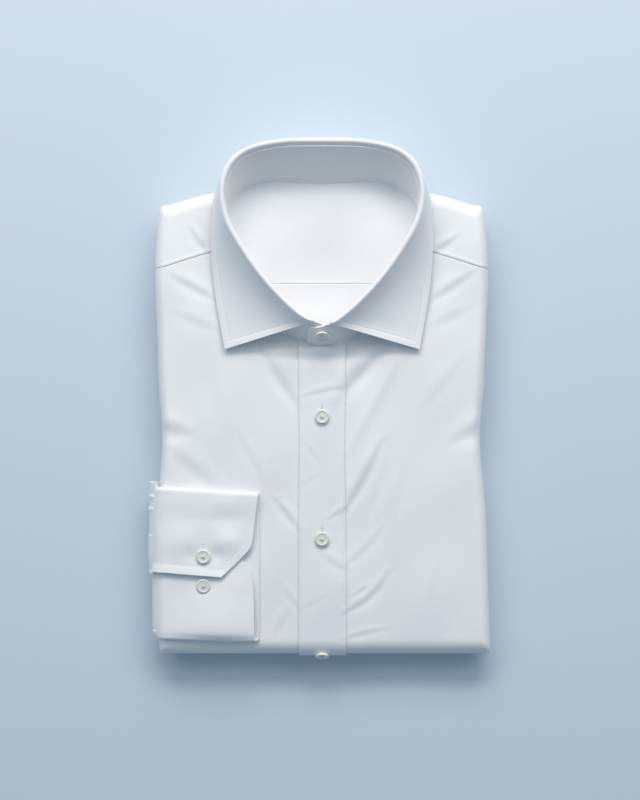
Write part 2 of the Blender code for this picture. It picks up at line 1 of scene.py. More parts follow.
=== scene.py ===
"""The looks of a folded dress shirt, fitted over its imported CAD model.

Distances are in millimetres on the table: X runs across the chest, Y from the bottom fold to
the collar, and Z up. A cloth piece is a fine grid laid on one folded form, which is read by
S across and T along. On the flat top S runs from -1 to 1 and T from 0 to 1. Past these the
cloth turns down the nose of a fold, where 1.5 is outermost and 2 lies below.
"""

import math

import bmesh
import bpy
import numpy as np
from mathutils import Matrix, Vector


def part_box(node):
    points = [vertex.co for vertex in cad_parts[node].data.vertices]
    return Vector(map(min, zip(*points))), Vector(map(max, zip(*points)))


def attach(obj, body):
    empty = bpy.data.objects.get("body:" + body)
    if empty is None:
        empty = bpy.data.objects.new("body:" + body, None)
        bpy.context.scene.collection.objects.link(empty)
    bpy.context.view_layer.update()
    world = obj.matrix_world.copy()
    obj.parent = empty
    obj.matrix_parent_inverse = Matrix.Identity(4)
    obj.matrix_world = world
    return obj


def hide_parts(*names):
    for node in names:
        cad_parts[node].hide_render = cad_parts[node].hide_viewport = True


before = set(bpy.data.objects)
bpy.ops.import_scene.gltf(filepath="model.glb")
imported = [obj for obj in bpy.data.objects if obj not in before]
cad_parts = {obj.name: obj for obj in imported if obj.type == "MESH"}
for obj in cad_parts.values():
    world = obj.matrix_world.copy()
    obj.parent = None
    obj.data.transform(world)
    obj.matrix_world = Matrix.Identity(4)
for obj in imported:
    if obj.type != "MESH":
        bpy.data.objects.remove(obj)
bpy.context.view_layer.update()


# ================================================================ the folded pile
# The rest of the shirt, under its fronts: the sides and both sleeves are folded in on the
# back, and the lower half is turned up behind them. It is all the same white cotton poplin,
# and only the pressed folds hold it, so their edges lie in rounded, slightly uneven steps.

MM = 0.001
MIDDLE = np.array((-0.55, 3.1, 0.0))  # from the buttons' side of the table to the CAD's middle
FRONT_LINE_X = 1.6  # the line that the buttons stand on
BOTTOM_Y = -195.3  # outermost point of the bottom fold
TOP_Y = 166.0  # outermost point of the top fold
SHOULDER_DROP = 16.0
SHOULDER_HALF = 124.0
SHOULDER_POWER = 2.6
NAPE_RISE = 8.0  # the top fold reaches this much higher under the back of the collar
NAPE_HALF = (50.0, 82.0)
SIDE_NOSE = 8.0  # how far the folds' noses reach past the flat top
BOTTOM_NOSE = 12.0
TOP_NOSE = 11.0
FOLD_LOW_Z = 5.6  # underside of the front's own fold
CORNER_POWER = 5.0  # 2 is a round corner, and higher is squarer
CLOTH = 1.2  # wall of a panel, with its turned seams
GAP = 0.35

OUTLINE = (  # y, and half widths on the wearer's right and left
    (-196.0, 125.4, 129.8),
    (-150.0, 126.6, 128.2),
    (-90.0, 126.8, 126.2),
    (-31.0, 123.2, 121.6),
    (10.0, 125.6, 124.4),
    (54.0, 127.0, 126.2),
    (98.0, 128.6, 127.8),
    (128.0, 127.2, 126.2),
    (150.0, 124.8, 123.4),
)
THICKNESS = (  # y, height of the flat top
    (-196.0, 25.0),
    (-140.0, 26.6),
    (-40.0, 28.0),
    (60.0, 29.5),
    (120.0, 29.5),
    (166.0, 27.5),
)

# How far a crease lifts, sinks or steps the cloth: it has one of four depths.
FAINT = 0.4
SOFT = 0.75
FULL = 1.5
DEEP = 2.5

# Creases as they fall on the buttoned and pressed front. Each runs from one end to the other
# with a sideways bow. A negative height sinks, and a step raises the cloth on one side.
CREASES = (  # x0, y0, x1, y1, bow, half width, height, and step up to its left side
    # pulls from the neck button and from under the collar
    (-45.5, 39.5, -18.5, -4.5, 0.0, 7.0, 0.0, FULL),
    (16.5, 6.0, 50.0, 38.0, 0.0, 7.5, -FULL, 0.0),
    (-14.5, 3.0, 18.0, 10.5, 1.0, 4.0, 0.0, SOFT),
    (21.0, -39.5, 57.5, 29.0, 0.0, 7.0, SOFT, SOFT),
    (-43.0, 36.0, 42.0, 36.0, 0.0, 7.0, SOFT, DEEP),
    (-46.0, 46.0, 46.0, 46.0, 0.0, 13.0, -DEEP, 0.0),
    (-36.0, 36.0, -19.0, 2.0, 0.0, 12.0, 0.0, FULL),
    (13.0, 0.0, 38.0, 36.0, 0.0, 12.0, 0.0, DEEP),
    # long soft folds down the left front
    (16.5, -85.0, 44.5, -32.0, -1.0, 6.5, 0.0, DEEP),
    (16.5, -126.5, 47.5, -95.5, -2.0, 5.0, 0.0, SOFT),
    (16.5, -162.5, 51.0, -130.5, -4.0, 5.0, 0.0, FULL),
    (23.5, -149.5, 36.5, -141.0, 0.0, 3.0, 0.0, SOFT),
    (16.5, -183.0, 47.0, -175.5, 1.0, 4.0, 0.0, SOFT),
    (77.5, -4.0, 107.5, 32.0, 0.0, 8.0, 0.0, SOFT),
    (60.5, -53.0, 57.5, -87.5, 0.0, 5.0, 0.0, -SOFT),
    (79.0, -161.0, 94.0, -110.0, 0.0, 7.0, 0.0, FAINT),
    (38.0, -91.0, 53.0, -41.5, -3.0, 7.0, 0.0, -SOFT),
    # the right front, beside the placket and over the cuff
    (-88.0, 36.5, -76.0, -19.0, 0.0, 10.0, 0.0, SOFT),
    (-64.0, -24.5, -45.5, -59.0, 0.0, 6.0, 0.0, SOFT),
    (-114.0, -38.0, -81.5, -64.5, 0.0, 10.0, 0.0, FULL),
    (-35.0, -76.0, -17.5, -98.5, 0.0, 5.0, 0.0, FULL),
    (-29.5, -142.0, -17.0, -161.0, 0.0, 4.5, 0.0, SOFT),
    (-23.0, -156.5, -38.0, -182.0, 0.0, 6.0, 0.0, -SOFT),
    # shoulders, where the collar's fall presses down
    (-114.0, 95.0, -81.5, 77.5, 0.0, 6.0, 0.0, FULL),
    (-111.5, 67.0, -81.5, 54.5, 0.0, 7.0, 0.0, SOFT),
    (-100.0, 130.5, -88.0, 114.0, 0.0, 5.0, 0.0, FULL),
    (82.0, 76.0, 113.5, 97.0, 0.0, 6.0, 0.0, FULL),
    (82.0, 56.0, 112.0, 71.5, 0.0, 7.0, 0.0, SOFT),
    (83.5, 112.5, 103.0, 125.0, 0.0, 5.0, 0.0, FULL),
    # puckers between the placket's buttons
    (-14.5, -30.5, -1.5, -47.0, 0.0, 4.0, 0.0, FAINT),
    (4.5, -91.0, 18.0, -81.0, 0.0, 3.0, 0.0, SOFT),
    (0.0, -117.5, 19.0, -130.5, 0.0, 5.0, 0.0, SOFT),
    (-15.5, -64.5, -3.0, -56.0, 0.0, 4.0, 0.0, FAINT),
    (-15.5, -159.5, 0.0, -150.0, 0.0, 4.5, 0.0, FAINT),
    # where the sides are pulled in at the waist
    (-103.0, -24.0, -130.0, -19.0, 0.0, 10.5, -FAINT, -DEEP),
    (103.0, -29.0, 130.0, -15.0, 0.0, 10.5, -FAINT, DEEP),
)
CREASE_TAPER = 0.4
SWELLS = (  # x and y of the direction, length of the wave, height, and where it starts
    (0.9, 0.44, 71.0, 0.26, 0.4),
    (-0.7, 0.71, 53.0, 0.20, 2.1),
    (0.2, 0.98, 96.0, 0.30, 4.4),
    (0.97, -0.24, 37.0, 0.10, 1.2),
)


def curve_through(values, at):
    """Values at places on a smooth curve through those of stations 0, 1, 2 ..."""
    values = np.asarray(values, float)
    i = np.clip(np.floor(at).astype(int), 0, len(values) - 2)
    f = at - i
    first, last = 2 * values[0] - values[1], 2 * values[-1] - values[-2]
    around = np.concatenate(([first], values, [last]))
    before, a, b, after = (around[i + k] for k in range(4))
    m0, m1 = (b - before) / 2, (after - a) / 2
    cubic = (2 * f**3 - 3 * f**2 + 1) * a + (3 * f**2 - 2 * f**3) * b
    return cubic + (f**3 - 2 * f**2 + f) * m0 + (f**3 - f**2) * m1


def read_columns(at, places, rows):
    """The columns of rows that stand at places, read straight between them."""
    return np.stack([np.interp(at, places, column) for column in np.asarray(rows).T], -1)


def read_table(table, column, key):
    keys = [row[0] for row in table]
    at = np.interp(key, keys, range(len(keys)))
    return curve_through([row[column] for row in table], at)


def ease(x):
    """0 below 0, 1 above 1, and smooth between."""
    x = np.clip(x, 0.0, 1.0)
    return x * x * (3 - 2 * x)


def half_width(y, side):
    return np.where(side < 0, read_table(OUTLINE, 1, y), read_table(OUTLINE, 2, y))


def top_y(x):
    inner, outer = NAPE_HALF
    nape = NAPE_RISE * (1 - ease((np.abs(x) - inner) / (outer - inner)))
    return TOP_Y + nape - SHOULDER_DROP * (np.abs(x) / SHOULDER_HALF) ** SHOULDER_POWER


def crease_height(x, y):
    """How far the creases and the slow swell of the cloth lift or sink the front."""
    total = np.zeros(np.broadcast(x, y).shape)
    for x0, y0, x1, y1, bow, width, height, step in CREASES:
        run = np.array((x1 - x0, y1 - y0))
        length = math.hypot(*run)
        run /= length
        share = ((x - x0) * run[0] + (y - y0) * run[1]) / length
        near = np.clip(share, 0.0, 1.0)
        aside = (y - y0) * run[0] - (x - x0) * run[1] - 4 * bow * near * (1 - near)
        beyond = (share - near) * length
        fade = ease(near / CREASE_TAPER) * ease((1 - near) / CREASE_TAPER)
        narrow = width * (0.7 + 0.3 * fade)
        away = (aside**2 + beyond**2) / narrow**2
        profile = np.exp(-1.6 * away) * (height + step * aside / narrow)
        total += (0.4 + 0.6 * fade) * profile
    for along_x, along_y, wave, height, start in SWELLS:
        total += height * np.sin((x * along_x + y * along_y) * math.tau / wave + start)
    return total


def nose_direction(a, b):
    """Turn, x share and y share at a turns round the side nose and b round the end nose."""
    turn = np.maximum(a, b)
    with np.errstate(divide="ignore", invalid="ignore"):
        angle = math.pi / 4 * np.where(a >= b, b / a, 2 - a / b)
    angle = np.where(turn > 0, angle, 0.0)
    x, y = np.cos(angle), np.sin(angle)
    norm = (x**CORNER_POWER + y**CORNER_POWER) ** (1 / CORNER_POWER)
    return turn, x / norm, y / norm


def form(s, t, creased=True):
    """Points of the folded form at S and T."""
    side = np.where(s < 0, -1, 1)
    across = np.minimum(np.abs(s), 1.0)
    low = BOTTOM_Y + BOTTOM_NOSE
    high = top_y(across * SHOULDER_HALF) - TOP_NOSE
    end = np.where(t > 0.5, TOP_NOSE, -BOTTOM_NOSE)
    past = np.where(t > 0.5, t - 1, -t)
    turn, x_share, y_share = nose_direction(
        np.maximum(np.abs(s) - 1, 0.0) * math.pi, np.maximum(past, 0.0) * math.pi
    )
    y = low + (high - low) * np.clip(t, 0.0, 1.0) + end * np.sin(turn) * y_share
    flat = half_width(y, side) - SIDE_NOSE
    x = side * (flat * across + SIDE_NOSE * np.sin(turn) * x_share)
    half = (read_table(THICKNESS, 1, y) - FOLD_LOW_Z) / 2
    z = FOLD_LOW_Z + half * (1 + np.cos(turn))
    if creased:
        z = z + crease_height(x, y) * np.maximum(np.cos(turn), 0.0)
    return np.stack((FRONT_LINE_X + x, y, z), axis=-1)


STEP = 1e-3  # of S or T, for the form's slope


def unit(vectors):
    return vectors / np.linalg.norm(vectors, axis=-1, keepdims=True)


def facing(s, t, creased=True):
    """The way that the form faces at S and T."""
    across = form(s + STEP, t, creased) - form(s - STEP, t, creased)
    along = form(s, t + STEP, creased) - form(s, t - STEP, creased)
    return unit(np.cross(across, along))


def out(s, t, offset=0.0, creased=True):
    """Points moved out from the form, or in where offset is negative."""
    s, t = np.broadcast_arrays(np.asarray(s, float), np.asarray(t, float))
    offset = np.broadcast_to(offset, s.shape)[..., None]
    return form(s, t, creased) + offset * facing(s, t, creased)


def top_place(x, y):
    """S and T of places seen from above, with x from the buttons' line."""
    x, y = np.broadcast_arrays(np.asarray(x, float), np.asarray(y, float))
    s = x / (half_width(y, np.where(x < 0, -1, 1)) - SIDE_NOSE)
    low = BOTTOM_Y + BOTTOM_NOSE
    high = top_y(s * SHOULDER_HALF) - TOP_NOSE
    past = np.arcsin(np.clip((y - high) / TOP_NOSE, 0.0, 1.0)) / math.pi
    return s, np.where(y > high, 1 + past, (y - low) / (high - low))


# The collar's neck seam, for one half, from the centre back to the centre front.
NECK = (
    (0.0, 166.0),
    (26.0, 168.0),
    (48.0, 167.4),
    (63.5, 160.2),
    (72.2, 147.6),
    (74.3, 129.0),
    (74.0, 110.0),
    (62.0, 86.0),
    (42.0, 63.0),
    (21.0, 47.5),
    (0.0, 42.0),
)
CENTRE_FRONT = len(NECK) - 1.0
SEAM_STATION = 5.75  # where the shoulder seam meets the neck
SEAM_SIDE_DROP = 16.3
FRONT_START = 8.2  # the station where the neck's front begins
FRONT_BLEND = 1.2
NECK_INSET = (-0.9, 0.9)  # the neck edge's distance inside the collar's seam, behind and in front


def neck_xy(station):
    return np.stack([curve_through([row[k] for row in NECK], station) for k in (0, 1)], -1)


def at_front(station):
    """0 behind, 1 at the neck's front, and smooth between."""
    return ease((station - FRONT_START) / FRONT_BLEND)


def neck_edge(station):
    """x and y of the body's neck edge."""
    ahead = neck_xy(np.minimum(station + 0.05, CENTRE_FRONT))
    behind = neck_xy(np.maximum(station - 0.05, 0.0))
    run = unit(ahead - behind)
    inset = NECK_INSET[0] + (NECK_INSET[1] - NECK_INSET[0]) * at_front(station)
    return neck_xy(station) + np.stack((run[..., 1], -run[..., 0]), -1) * inset[..., None]


def seam_y(x):
    """The shoulder seam, from the neck out to the side."""
    start_x, start_y = neck_edge(np.array(SEAM_STATION))
    return start_y - SEAM_SIDE_DROP * (np.maximum(np.abs(x) - start_x, 0) / (128 - start_x)) ** 1.1


def neck_columns(start, end, count):
    """S and T of the neck edge between two stations."""
    edge = neck_edge(np.linspace(start, end, count))
    return np.stack(top_place(edge[:, 0], edge[:, 1]), -1)


def shoulder_columns(count, turns):
    """S and T along the shoulder seam, past the neck and round the side's nose."""
    start_x = neck_edge(np.array(SEAM_STATION))[0]
    x = np.linspace(start_x, half_width(100.0, 1) - SIDE_NOSE, count)[1:]
    flat = np.stack(top_place(x, seam_y(x)), -1)
    nose = np.stack((1 + turns, flat[-1, 1] - 0.008 * turns), -1)
    return np.concatenate((flat, nose))


class Socket:
    """A socket of a finish, so that maths on its values is written as Python."""

    def __init__(self, finish, socket):
        self.finish, self.socket = finish, socket

    def _maths(self, operation, *values):
        return self.finish.node("Math", "Value", {"operation": operation}, dict(enumerate(values)))

    def __add__(self, other):
        return self._maths("ADD", self, other)

    def __mul__(self, other):
        return self._maths("MULTIPLY", self, other)

    def __sub__(self, other):
        return self._maths("SUBTRACT", self, other)

    def __rsub__(self, other):
        return self._maths("SUBTRACT", other, self)

    def __pow__(self, other):
        return self._maths("POWER", self, other)

    __radd__ = __add__
    __rmul__ = __mul__

    def sine(self):
        return self._maths("SINE", self)

    def size(self):
        return self._maths("ABSOLUTE", self)


class Finish:
    """A material being built: its node tree and its Principled shader."""

    def __init__(self, name, **surface):
        self.material = bpy.data.materials.new(name)
        self.material.use_nodes = True
        self.tree = self.material.node_tree
        self.shader = self.tree.nodes["Principled BSDF"]
        for socket, value in surface.items():
            self.shader.inputs[socket.replace("_", " ").title()].default_value = value

    def node(self, kind, output, settings, sockets):
        """Adds a node: its settings first, and then the value or link of each socket."""
        made = self.tree.nodes.new("ShaderNode" + kind)
        for name, value in settings.items():
            if name == "stops":
                for stop, (place, colour) in zip(made.color_ramp.elements, value):
                    stop.position, stop.color = place, colour
            else:
                setattr(made, name, value)
        for name, value in sockets.items():
            self.connect(value, made.inputs[name])
        return Socket(self, made.outputs[output])

    def connect(self, value, socket):
        if isinstance(value, Socket):
            self.tree.links.new(value.socket, socket)
        else:
            socket.default_value = value

    def noise(self, place, scale, detail=2.0):
        sockets = {"Vector": place, "Scale": scale, "Detail": detail}
        return self.node("TexNoise", "Fac", {}, sockets)

    def bump(self, height, strength, distance):
        sockets = {"Height": height, "Strength": strength, "Distance": distance}
        return self.node("Bump", "Normal", {}, sockets)

    def surface(self, **values):
        for name, value in values.items():
            self.connect(value, self.shader.inputs[name.replace("_", " ").title()])
        return self.material


WHITE = (0.86, 0.88, 0.91, 1.0)
WHITE_SHADED = (0.81, 0.835, 0.87, 1.0)
YARN_ACROSS = 0.00042  # metres from one thread to the next
YARN_ALONG = 0.00034
CLOTH_MAP = "Cloth"  # the cloth's own flat measure in metres, kept as a UV map


def poplin(name, white=WHITE, shaded=WHITE_SHADED):
    """Fine white cotton: a plain weave whose threads vary a little, with a soft pressed sheen."""
    finish = Finish(name, roughness=0.74, sheen_weight=0.12, sheen_roughness=0.45)
    place = finish.node("UVMap", "UV", {"uv_map": CLOTH_MAP}, {})
    across = finish.node("SeparateXYZ", "X", {}, {"Vector": place})
    along = finish.node("SeparateXYZ", "Y", {}, {"Vector": place})
    warp = (across * (math.pi / YARN_ALONG)).sine()
    weft = (along * (math.pi / YARN_ACROSS)).sine()
    weave = warp.size() ** 0.6 + weft.size() ** 0.6 + warp * weft * 0.5
    slubs = {}
    for way, stretch in {"warp": (900.0, 28.0, 1.0), "weft": (34.0, 1100.0, 1.0)}.items():
        run = finish.node("Mapping", "Vector", {}, {"Vector": place, "Scale": stretch})
        slubs[way] = finish.noise(run, 1.0)
    threads = slubs["warp"] * 0.5 + slubs["weft"] * 0.5
    pressing = finish.noise(place, 22.0, 3.0)
    shade = (threads - 0.5) * 1.1 + (pressing - 0.5) * 0.5 + 0.42
    colour = finish.node(
        "Mix",
        2,
        {"data_type": "RGBA", "clamp_factor": True},
        {0: shade, 6: white, 7: shaded},
    )
    height = weave * 0.2 + threads * 1.2 + pressing * 0.8
    bump = finish.bump(height, 0.5, 6e-5)
    return finish.surface(
        base_color=colour, normal=bump, roughness=0.68 + threads * 0.08 + pressing * 0.06
    )


def laid(points):
    """The place of each point on the flat cloth, in metres, from the lengths of a grid's lines."""
    steps = [np.linalg.norm(np.diff(points, axis=k), axis=-1) for k in (1, 0)]
    across = np.concatenate((np.zeros((len(points), 1)), np.cumsum(steps[0], axis=1)), 1)
    along = np.concatenate((np.zeros((1, points.shape[1])), np.cumsum(steps[1], axis=0)))
    middle = points.shape[1] // 2
    return np.stack((across - across[:, middle : middle + 1], along), -1) * MM


def mesh_from(name, bm):
    """The mesh that a bmesh has built, which is freed."""
    mesh = bpy.data.meshes.new(name)
    bm.to_mesh(mesh)
    bm.free()
    return mesh


def placed(name, data):
    """A new object in the scene, at the origin."""
    made = bpy.data.objects.new(name, data)
    bpy.context.scene.collection.objects.link(made)
    return made


def grid_mesh(name, points):
    """A mesh grid through rows of points, with the cloth's flat measure as its UV map."""
    rows, columns = points.shape[:2]
    bm = bmesh.new()
    bmesh.ops.create_grid(bm, x_segments=columns - 1, y_segments=rows - 1, size=1)
    mesh = mesh_from(name, bm)
    mesh.vertices.foreach_set("co", ((points + MIDDLE) * MM).ravel())
    corners = np.empty(len(mesh.loops), int)
    mesh.loops.foreach_get("vertex_index", corners)
    flat = laid(points).reshape(-1, 2)[corners]
    mesh.uv_layers.new(name=CLOTH_MAP).data.foreach_set("uv", flat.ravel())
    return mesh


def piece(name, mesh, finish, node):
    """A finished piece that stands for a CAD node, or for none where node is empty."""
    made = placed(name, mesh)
    mesh.materials.append(finish)
    mesh.shade_smooth()
    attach(made, "root")
    if node:
        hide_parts(node)
    return made


def cloth(name, points, finish, node, wall=CLOTH, offset=-1.0, edge=0.4):
    """A sheet of cloth on a grid. Offset -1 thickens it inwards, 1 outwards and 0 both ways,
    and its cut edges are rounded as turned cloth is."""
    made = piece(name, grid_mesh(name, points), finish, node)
    solid = made.modifiers.new("Wall", "SOLIDIFY")
    solid.thickness = wall * MM
    solid.offset = offset
    rounding = made.modifiers.new("Turned edge", "BEVEL")
    rounding.width = edge * MM
    rounding.segments = 2
    rounding.limit_method = "ANGLE"
    rounding.angle_limit = math.radians(60)
    return made


def of_kind(items, kind):
    return [item for item in items if isinstance(item, kind)]


CORE_INSET = CLOTH + GAP
CORE_TURNS = np.linspace(0.05, 0.8, 12)
FRONT_ROOM = 0.7
CREASE_ROOM = 0.5
LINING_HALF = 84.0
BACK_LOW_Y = 34.0
WELL_DEPTH = 6.0  # how far the back sinks under the open neck
WELL_CENTRE_Y = 32.0
WELL_HALF = (88.0, 134.0)
LAYERS = (  # top and bottom z of each layer, and how far in it lies as a share of the nose
    (6.9, 5.2, 0.56),
    (4.9, 3.4, 0.24),
    (3.2, 1.9, 0.12),
    (1.7, 0.0, 0.22),
)
LAYER_BULGE = 0.16
LAYER_WAVES = ((0.031, 0.06), (0.083, 0.03), (0.19, 0.015))  # turns a millimetre, and share


def well(x, y):
    away = np.hypot(x / WELL_HALF[0], (y - WELL_CENTRE_Y) / WELL_HALF[1])
    return WELL_DEPTH * (1 - ease(away))


def pile_top(s, t):
    """The pile's upper face, which keeps clear of the fronts and of the back's inside."""
    flat = form(s, t)
    x, y = flat[..., 0] - FRONT_LINE_X, flat[..., 1]
    room = ease((LINING_HALF + 18 - np.abs(x)) / 14) * ease((y - BACK_LOW_Y + 18) / 14)
    room *= np.where(t > 1, ease((1.5 - t) / 0.12), 1.0)
    depth = CORE_INSET + (CLOTH + 1.6 * GAP) * room + FRONT_ROOM * (1 - room)
    depth = depth + CREASE_ROOM * np.abs(crease_height(x, y))
    points = out(s, t, -depth)
    points[..., 2] -= well(x, y) * room
    return points


def layer_ring(s, t, inset, z, number):
    """A ring of points at height z, in from the fold's edge by a share of its nose."""
    plan = form(s, t, creased=False)
    for turns, share in LAYER_WAVES:
        inset = inset + share * np.sin(math.tau * turns * (plan[:, 0] - plan[:, 1]) + 2.3 * number)
    turn = np.arcsin(1 - np.clip(inset, 0.02, 0.98)) / math.pi / CORE_TURNS[-1]
    s = np.where(np.abs(s) > 1, np.sign(s) * (1 + (np.abs(s) - 1) * turn), s)
    t = np.where(t > 1, 1 + (t - 1) * turn, np.where(t < 0, t * turn, t))
    ring = form(s, t, creased=False)
    ring[:, 2] = z
    return ring


def folded_pile(finish):
    half = np.concatenate((np.linspace(0, 1, 60)[:-1], [1.0], 1 + CORE_TURNS))
    s_line = np.concatenate((-half[:0:-1], half))
    t_line = np.concatenate((-CORE_TURNS[::-1], np.linspace(0, 1, 150), 1 + CORE_TURNS))
    s, t = np.meshgrid(s_line, t_line)
    mesh = grid_mesh("folded_pile", pile_top(s, t))
    bm = bmesh.new()
    bm.from_mesh(mesh)
    bm.verts.ensure_lookup_table()
    rim = {}
    for vert in bm.verts:
        if vert.is_boundary:
            rim[vert] = (s_line[vert.index % len(s_line)], t_line[vert.index // len(s_line)])
    edges = [edge for edge in bm.edges if edge.is_boundary]
    rings = []
    for number, (top, bottom, inset) in enumerate(LAYERS):
        for share in np.linspace(0, 1, 7):
            swell = LAYER_BULGE * math.sin(math.pi * share) ** 0.6
            rings.append((inset + LAYER_BULGE - swell, top + (bottom - top) * share, number))
    for inset, z, number in rings:
        made = bmesh.ops.extrude_edge_only(bm, edges=edges)["geom"]
        below = {}
        for vert in of_kind(made, bmesh.types.BMVert):
            above = next(
                edge.other_vert(vert) for edge in vert.link_edges if edge.other_vert(vert) in rim
            )
            below[vert] = rim[above]
        s_rim, t_rim = np.array(list(below.values())).T
        ring = (layer_ring(s_rim, t_rim, inset, z, number) + MIDDLE) * MM
        for vert, point in zip(below, ring):
            vert.co = point
        edges = of_kind(made, bmesh.types.BMEdge)
        edges = [edge for edge in edges if edge.verts[0] in below and edge.verts[1] in below]
        rim = below
    bmesh.ops.contextual_create(bm, geom=edges)
    bmesh.ops.triangulate(bm, faces=[face for face in bm.faces if len(face.verts) > 4])
    bmesh.ops.recalc_face_normals(bm, faces=bm.faces)
    bm.to_mesh(mesh)
    bm.free()
    return piece("folded_pile", mesh, finish, "folded_layers")


shirt_white = poplin("white_poplin")
pile = folded_pile(shirt_white)


# ================================================================ back and yoke lining
# Seen through the open neck: the inside of the back, and above it the yoke's lining. Both are
# poplin, seamed together across the shoulder blades, and they sag a little under the neck.

YOKE_SEAM_Y = 89.0
LINING_CREST = 0.24  # the lining ends this far over the top fold, in half turns
SEAM_FELL = 0.18  # how far the seam's turned edge stands up
SEAM_REACH = 1.6
SEAM_SHOWN = 38.0  # it lies flat nearer the sides
SEAM_GAP = 0.05


def inner_sheet(name, low_y, high_y, rows, seam_end, finish, node):
    """A piece of the back's inside. It runs between two heights on the table, or over the top
    fold's crest where the higher is None, and swells along its seam."""
    x = np.linspace(-LINING_HALF, LINING_HALF, 121)
    s, low = top_place(x, np.full_like(x, low_y))
    high = np.full_like(x, 1.0)
    if high_y is not None:
        high = top_place(x, np.full_like(x, high_y))[1]
    share = np.linspace(0, 1, rows) ** (1.25 if seam_end == 0 else 0.8)
    t = low + (high - low) * share[:, None]
    if high_y is None:
        crest = high + LINING_CREST * np.linspace(0, 1, 13)[1:, None]
        t = np.concatenate((t, crest))
    points = out(np.broadcast_to(s, t.shape), t, -CLOTH - GAP)
    points[..., 2] -= well(points[..., 0] - FRONT_LINE_X, points[..., 1])
    seam = points[seam_end, :, 1]
    from_seam = np.abs(points[..., 1] - seam) / SEAM_REACH
    shown = ease((SEAM_SHOWN - np.abs(points[..., 0] - FRONT_LINE_X)) / 12)
    points[..., 2] += SEAM_FELL * shown * np.exp(-((from_seam - 0.7) ** 2) * 2.5)
    return cloth(name, points, finish, node, edge=0.35)


lining = inner_sheet(
    "yoke_lining_cloth", YOKE_SEAM_Y + SEAM_GAP / 2, None, 70, 0, shirt_white, "yoke_lining"
)
back = inner_sheet(
    "back_cloth", BACK_LOW_Y, YOKE_SEAM_Y - SEAM_GAP / 2, 50, -1, shirt_white, "back"
)


# ================================================================ fronts
# Two poplin panels meet under the placket. Each runs from its neck and shoulder seams to the
# bottom fold, and turns round the folds at the side and the bottom. Pressed in shape, they
# keep the soft creases that start from the buttons, the collar's points and the cuff.

PANEL_TURNS = np.linspace(0.04, 0.84, 20)
PANEL_LENGTH = 340.0  # a panel's length on the form, which turns a gap into a share of T
PANEL_ROWS = 215
CENTRE_S = 0.0015


def front_panel(name, side, finish, node):
    neck = neck_columns(CENTRE_FRONT, SEAM_STATION, 64)
    neck[0, 0] = CENTRE_S
    columns = np.concatenate((neck, shoulder_columns(42, PANEL_TURNS)))
    if side < 0:
        columns = columns[::-1] * (-1, 1)
    s, t_end = columns.T
    share = np.linspace(0, 1, PANEL_ROWS)[:, None]
    t = np.concatenate(
        (
            np.broadcast_to(-PANEL_TURNS[::-1, None], (len(PANEL_TURNS), len(s))),
            share * (t_end - GAP / 2 / PANEL_LENGTH),
        )
    )
    return cloth(name, out(np.broadcast_to(s, t.shape), t), finish, node)


front_left = front_panel("front_left_cloth", 1, shirt_white, "front_left")
front_right = front_panel("front_right_cloth", -1, shirt_white, "front_right")


# ================================================================ yoke
# One poplin piece over both shoulders and round the top fold, with the neck cut out of it. It
# is laid over the fronts' edges at the shoulder seams and edge-stitched beside them.

YOKE_NECK_ROWS = 46
YOKE_SEAM_SWELL = 0.3  # the fronts' edges are turned in under the seam, so it stands up
YOKE_SEAM_REACH = 3.0


def spread_columns(across):
    """S of the columns past the neck's edge, where none may turn back over the one before it."""
    window = np.hanning(17)[1:-1]
    padded = np.pad(np.maximum.accumulate(across), 7, mode="reflect", reflect_type="odd")
    spread = np.convolve(padded, window / window.sum(), "valid")
    return across + (spread - across) * (1 - ease((across - 0.68) / 0.06))


def yoke_cloth(finish):
    half = np.concatenate((neck_columns(0.0, SEAM_STATION, 64), shoulder_columns(42, PANEL_TURNS)))
    columns = np.concatenate((half[:0:-1] * (-1, 1), half))
    s, t_start = columns.T
    spread = spread_columns(half[:, 0])
    spread = np.concatenate((-spread[:0:-1], spread))
    rows = np.concatenate((np.linspace(0.9, 1.0, YOKE_NECK_ROWS), 1 + PANEL_TURNS))[:, None]
    start, end = t_start + GAP / 2 / PANEL_LENGTH, rows[-1]
    even = start + (end - start) * (rows - rows[0]) / (end - rows[0])
    by_nose = np.where(rows < 1, start + (1 - start) * (rows - 0.9) / 0.1, rows)
    t = even + (by_nose - even) * ease((np.abs(s) - 0.62) / 0.2)
    s = s + (spread - s) * ease((t - start) / 0.06)
    points = out(s, t)
    x, y = points[..., 0] - FRONT_LINE_X, points[..., 1]
    from_seam = (y - seam_y(x)) / YOKE_SEAM_REACH
    outside = ease((np.abs(x) - 74) / 3) * np.maximum(facing(s, t)[..., 2], 0)
    points[..., 2] += YOKE_SEAM_SWELL * np.exp(-((from_seam - 0.5) ** 2) * 4) * outside
    return cloth("yoke_cloth", points, finish, "yoke", edge=0.5)


yoke = yoke_cloth(shirt_white)


STITCH = 2.3  # length of a stitch and the gap after it
STITCH_SHOWN = 0.8  # share of it that lies on top of the cloth
THREAD = 0.34
RUN_REACH = 0.3  # a line's way is read this far to both sides


def thread_finish(name, colour):
    """Polyester-wrapped sewing thread, a little brighter than the cloth, with a twisted lay."""
    finish = Finish(name, roughness=0.5)
    place = finish.node("TexCoord", "Object", {}, {})
    twist = finish.node(
        "TexWave", "Fac", {"bands_direction": "DIAGONAL"}, {"Vector": place, "Scale": 900.0}
    )
    worn = finish.noise(place, 300.0)
    shaded = tuple(part * 0.9 for part in colour[:3]) + (1.0,)
    mixed = finish.node("Mix", 2, {"data_type": "RGBA"}, {0: worn, 6: colour, 7: shaded})
    bump = finish.bump(twist, 0.4, 4e-5)
    return finish.surface(base_color=mixed, normal=bump)


white_thread = thread_finish("white_thread", (0.88, 0.9, 0.93, 1.0))


